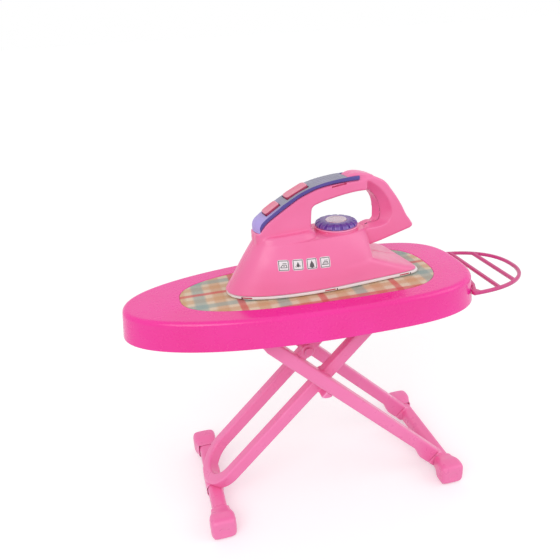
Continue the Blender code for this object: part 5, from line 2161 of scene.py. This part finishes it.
@dataclass
class Studio:
    """The camera at the photograph's angle, soft lamps, the pale floor and the white world."""

    lens: float = 37.77
    place: Point = (-0.17705, -0.5174, 0.4866)
    yaw: float = 13.4451
    pitch: float = 24.4663
    roll: float = -3.0914
    lamp_size: float = 1.2
    key_power: float = 8.6
    fill_power: float = 4.2
    world_strength: float = 0.76
    floor_size: float = 30.0
    floor_colours: tuple[Point, Point] = ((0.80, 0.80, 0.80), (0.79, 0.79, 0.79))
    floor_glow: Flat = (0.34, 0.42)
    glow_reach: Flat = (0.8, 3.0)

    def camera(self) -> None:
        """Adds the camera and makes it the scene's."""
        yaw, pitch, roll = (math.radians(angle) for angle in (self.yaw, self.pitch, self.roll))
        forward = Vector((
            math.sin(yaw) * math.cos(pitch), math.cos(yaw) * math.cos(pitch), -math.sin(pitch)
        ))
        right = Vector((math.cos(yaw), -math.sin(yaw), 0.0))
        up = right.cross(forward)
        turned_right = right * math.cos(roll) + up * math.sin(roll)
        turned_up = up * math.cos(roll) - right * math.sin(roll)
        data = bpy.data.cameras.new("photo_camera")
        data.lens = self.lens
        data.sensor_width = 36.0
        data.clip_start = 0.01
        camera = bpy.data.objects.new("photo_camera", data)
        bpy.context.scene.collection.objects.link(camera)
        axes = Matrix((turned_right, turned_up, -forward)).transposed().to_4x4()
        camera.matrix_world = Matrix.Translation(self.place) @ axes
        bpy.context.scene.camera = camera

    def lamp(self, name: str, place: Point, size: float, power: float) -> None:
        """Adds one large soft lamp aimed at the toy.

        Args:
            name: Its name.
            place: Where it hangs.
            size: Its width.
            power: Its power in watts.
        """
        data = bpy.data.lights.new(name, "AREA")
        data.shape = "DISK"
        data.size = size
        data.energy = power
        lamp = bpy.data.objects.new(name, data)
        bpy.context.scene.collection.objects.link(lamp)
        lamp.location = place
        aim = Vector((0.0, 0.0, 0.18)) - Vector(place)
        lamp.rotation_mode = "QUATERNION"
        lamp.rotation_quaternion = aim.to_track_quat("-Z", "Y")

    def world(self) -> None:
        """Gives the world a plain light, shown as white behind the toy."""
        world = bpy.data.worlds.new("studio_world")
        bpy.context.scene.world = world
        world.use_nodes = True
        graph = Graph(world.node_tree)
        shown = self.seen(graph)
        strength = graph.ramp(shown, 0.0, 1.0, self.world_strength, 1.0)
        back = world.node_tree.nodes["Background"]
        back.inputs["Color"].default_value = (1.0, 1.0, 1.0, 1.0)
        world.node_tree.links.new(strength, back.inputs["Strength"])

    def seen(self, graph: Graph) -> Any:
        """The share of looking rays: 1 for the camera, a reflection or clear matter, else 0."""
        path = graph.node("ShaderNodeLightPath").outputs
        direct = graph.calc("MAXIMUM", path["Is Camera Ray"], path["Is Glossy Ray"])
        return graph.calc("MAXIMUM", direct, path["Is Transmission Ray"])

    def floor(self) -> None:
        """Adds the pale floor, which keeps the toy's shadow."""
        at_rest()
        bpy.ops.mesh.primitive_plane_add(size=self.floor_size, location=(0.0, 0.0, -0.0002))
        floor = named("studio_floor")
        look, graph, shader, place = new_material("studio_floor")
        grain = graph.ramp(graph.noise(place, 220.0, 2.0), *NOISE_SPAN, 0.0, 1.0)
        colour = graph.mix(grain, *self.floor_colours)
        graph.tree.links.new(colour, shader.inputs["Base Color"])
        shader.inputs["Roughness"].default_value = 0.9
        shader.inputs["Specular IOR Level"].default_value = 0.1
        glow = graph.mix(self.seen(graph), (0.0, 0.0, 0.0), (1.0, 1.0, 1.0))
        graph.tree.links.new(glow, shader.inputs["Emission Color"])
        away = graph.node("ShaderNodeVectorMath", operation="LENGTH")
        graph.tree.links.new(place, away.inputs[0])
        strength = graph.ramp(away.outputs["Value"], *self.glow_reach, *self.floor_glow)
        graph.tree.links.new(strength, shader.inputs["Emission Strength"])
        floor.data.materials.append(look)

    def build(self) -> None:
        """Sets the whole studio up."""
        bpy.context.scene.view_settings.view_transform = "Standard"
        self.camera()
        self.world()
        self.floor()
        self.lamp("key_lamp", (-0.9, -1.25, 1.3), self.lamp_size, self.key_power)
        self.lamp("fill_lamp", (1.3, -0.7, 1.1), self.lamp_size, self.fill_power)
        LOG.info("studio built")


# The whole scene


def build_looks() -> Wardrobe:
    """Builds every material.

    Returns:
        The materials.
    """
    groups = Groups()
    plaid = CheckedCloth(
        "plaid_cover", (0.82, 0.66, 0.49), 0.0750, 0.0540,
        (
            PlaidStripe((0.66, 0.32, 0.13), 0.56, 0.03025 + BOARD_SHIFT, 0.0175, 0.0056, 0.0039,
                        0.0017, 0.5),
            PlaidStripe((0.22, 0.38, 0.38), 0.58, 0.0490 + BOARD_SHIFT, 0.0310, 0.0058, 0.0042,
                        0.0018),
            PlaidStripe((0.70, 0.035, 0.06), 0.72, 0.0115 + BOARD_SHIFT, 0.0040, 0.0033, 0.0026,
                        0.0010),
        ),
    )
    # Each plastic's third colour is the painted highlight on its convex edges
    plastics = {
        "tray": MouldedPlastic(
            "tray_hot_pink", (0.92, 0.014, 0.345), (0.88, 0.010, 0.30), (0.96, 0.10, 0.52),
            roughness=0.27, coat=0.30,
        ),
        "rest": MouldedPlastic(
            "rest_raspberry", (0.66, 0.045, 0.24), (0.56, 0.03, 0.19), (0.88, 0.22, 0.42),
            edge_highlight_share=0.0, roughness=0.28,
        ),
        "legs": MouldedPlastic(
            "legs_candy_pink", (0.96, 0.220, 0.495), (0.93, 0.190, 0.45), (1.0, 0.58, 0.82),
            edge_highlight_share=0.8, roughness=0.32,
        ),
        "iron": MouldedPlastic(
            "iron_salmon_pink", (0.91, 0.190, 0.42), (0.88, 0.160, 0.37), (1.0, 0.52, 0.74),
            edge_highlight_share=0.45, roughness=0.33, coat=0.10,
        ),
        "sole": MouldedPlastic(
            "sole_white", (0.88, 0.82, 0.82), (0.84, 0.77, 0.78), (0.90, 0.88, 0.88),
            edge_highlight_share=0.0, roughness=0.34,
        ),
        # Dark red that is partly the clips' colour and partly painted shade of their slots
        "clip": MouldedPlastic(
            "clip_red_and_slot_shade", (0.62, 0.05, 0.10), (0.50, 0.03, 0.07), (0.80, 0.25, 0.30), edge_highlight_share=0.0,
        ),
        "shade": MouldedPlastic(
            "hole_shade", (0.030, 0.010, 0.014), (0.020, 0.008, 0.010), (0.1, 0.05, 0.06),
            edge_highlight_share=0.0, roughness=0.7, coat=0.0,
        ),
        "stripe": MouldedPlastic(
            "stripe_violet", (0.095, 0.062, 0.34), (0.070, 0.045, 0.27), (0.24, 0.19, 0.62),
            edge_highlight_share=0.0, roughness=0.40,
        ),
        # The buttons' sides get a painted dark crimson shade
        "button": MouldedPlastic(
            "button_pink", (0.84, 0.26, 0.38), (0.78, 0.20, 0.31), (1.0, 0.5, 0.62),
            edge_highlight_share=0.3, roughness=0.34, side=(0.40, 0.03, 0.10), up=(-0.417, -0.051, 0.906),
        ),
        "dial": MouldedPlastic(
            "dial_purple", (0.125, 0.042, 0.35), (0.10, 0.032, 0.29), (0.56, 0.42, 0.86),
            edge_highlight_share=0.40, roughness=0.34,
        ),
        "cap": MouldedPlastic(
            "disc_silver", (0.66, 0.56, 0.62), (0.56, 0.47, 0.53), (0.85, 0.80, 0.84),
            edge_highlight_share=0.5, roughness=0.26, metallic=0.5, coat=0.1,
        ),
        "screw": MouldedPlastic(
            "screw_zinc", (0.50, 0.50, 0.52), (0.38, 0.38, 0.40), (0.66, 0.66, 0.68),
            edge_highlight_share=0.0, roughness=0.30, metallic=1.0, coat=0.0,
        ),
    }
    pad = GripRubber("pad_lilac", (0.46, 0.36, 0.80), (0.31, 0.30, 0.39), -0.0780, -0.0400)
    return Wardrobe(
        cover=plaid.build(groups),
        pad=pad.build(groups),
        marks=tuple(SettingPrint(mark).build() for mark in SettingMark),
        **{name: plastic.build(groups) for name, plastic in plastics.items()},
    )


def main() -> None:
    """Builds the materials, the board, the legs, the iron and the studio, in that order."""
    logging.basicConfig(level=logging.INFO, format="%(message)s")
    looks = build_looks()
    Board().build(looks)
    Legs().build(looks)
    ToyIron().build(looks)
    Studio().build()
    at_rest()


if __name__ == "__main__":
    main()
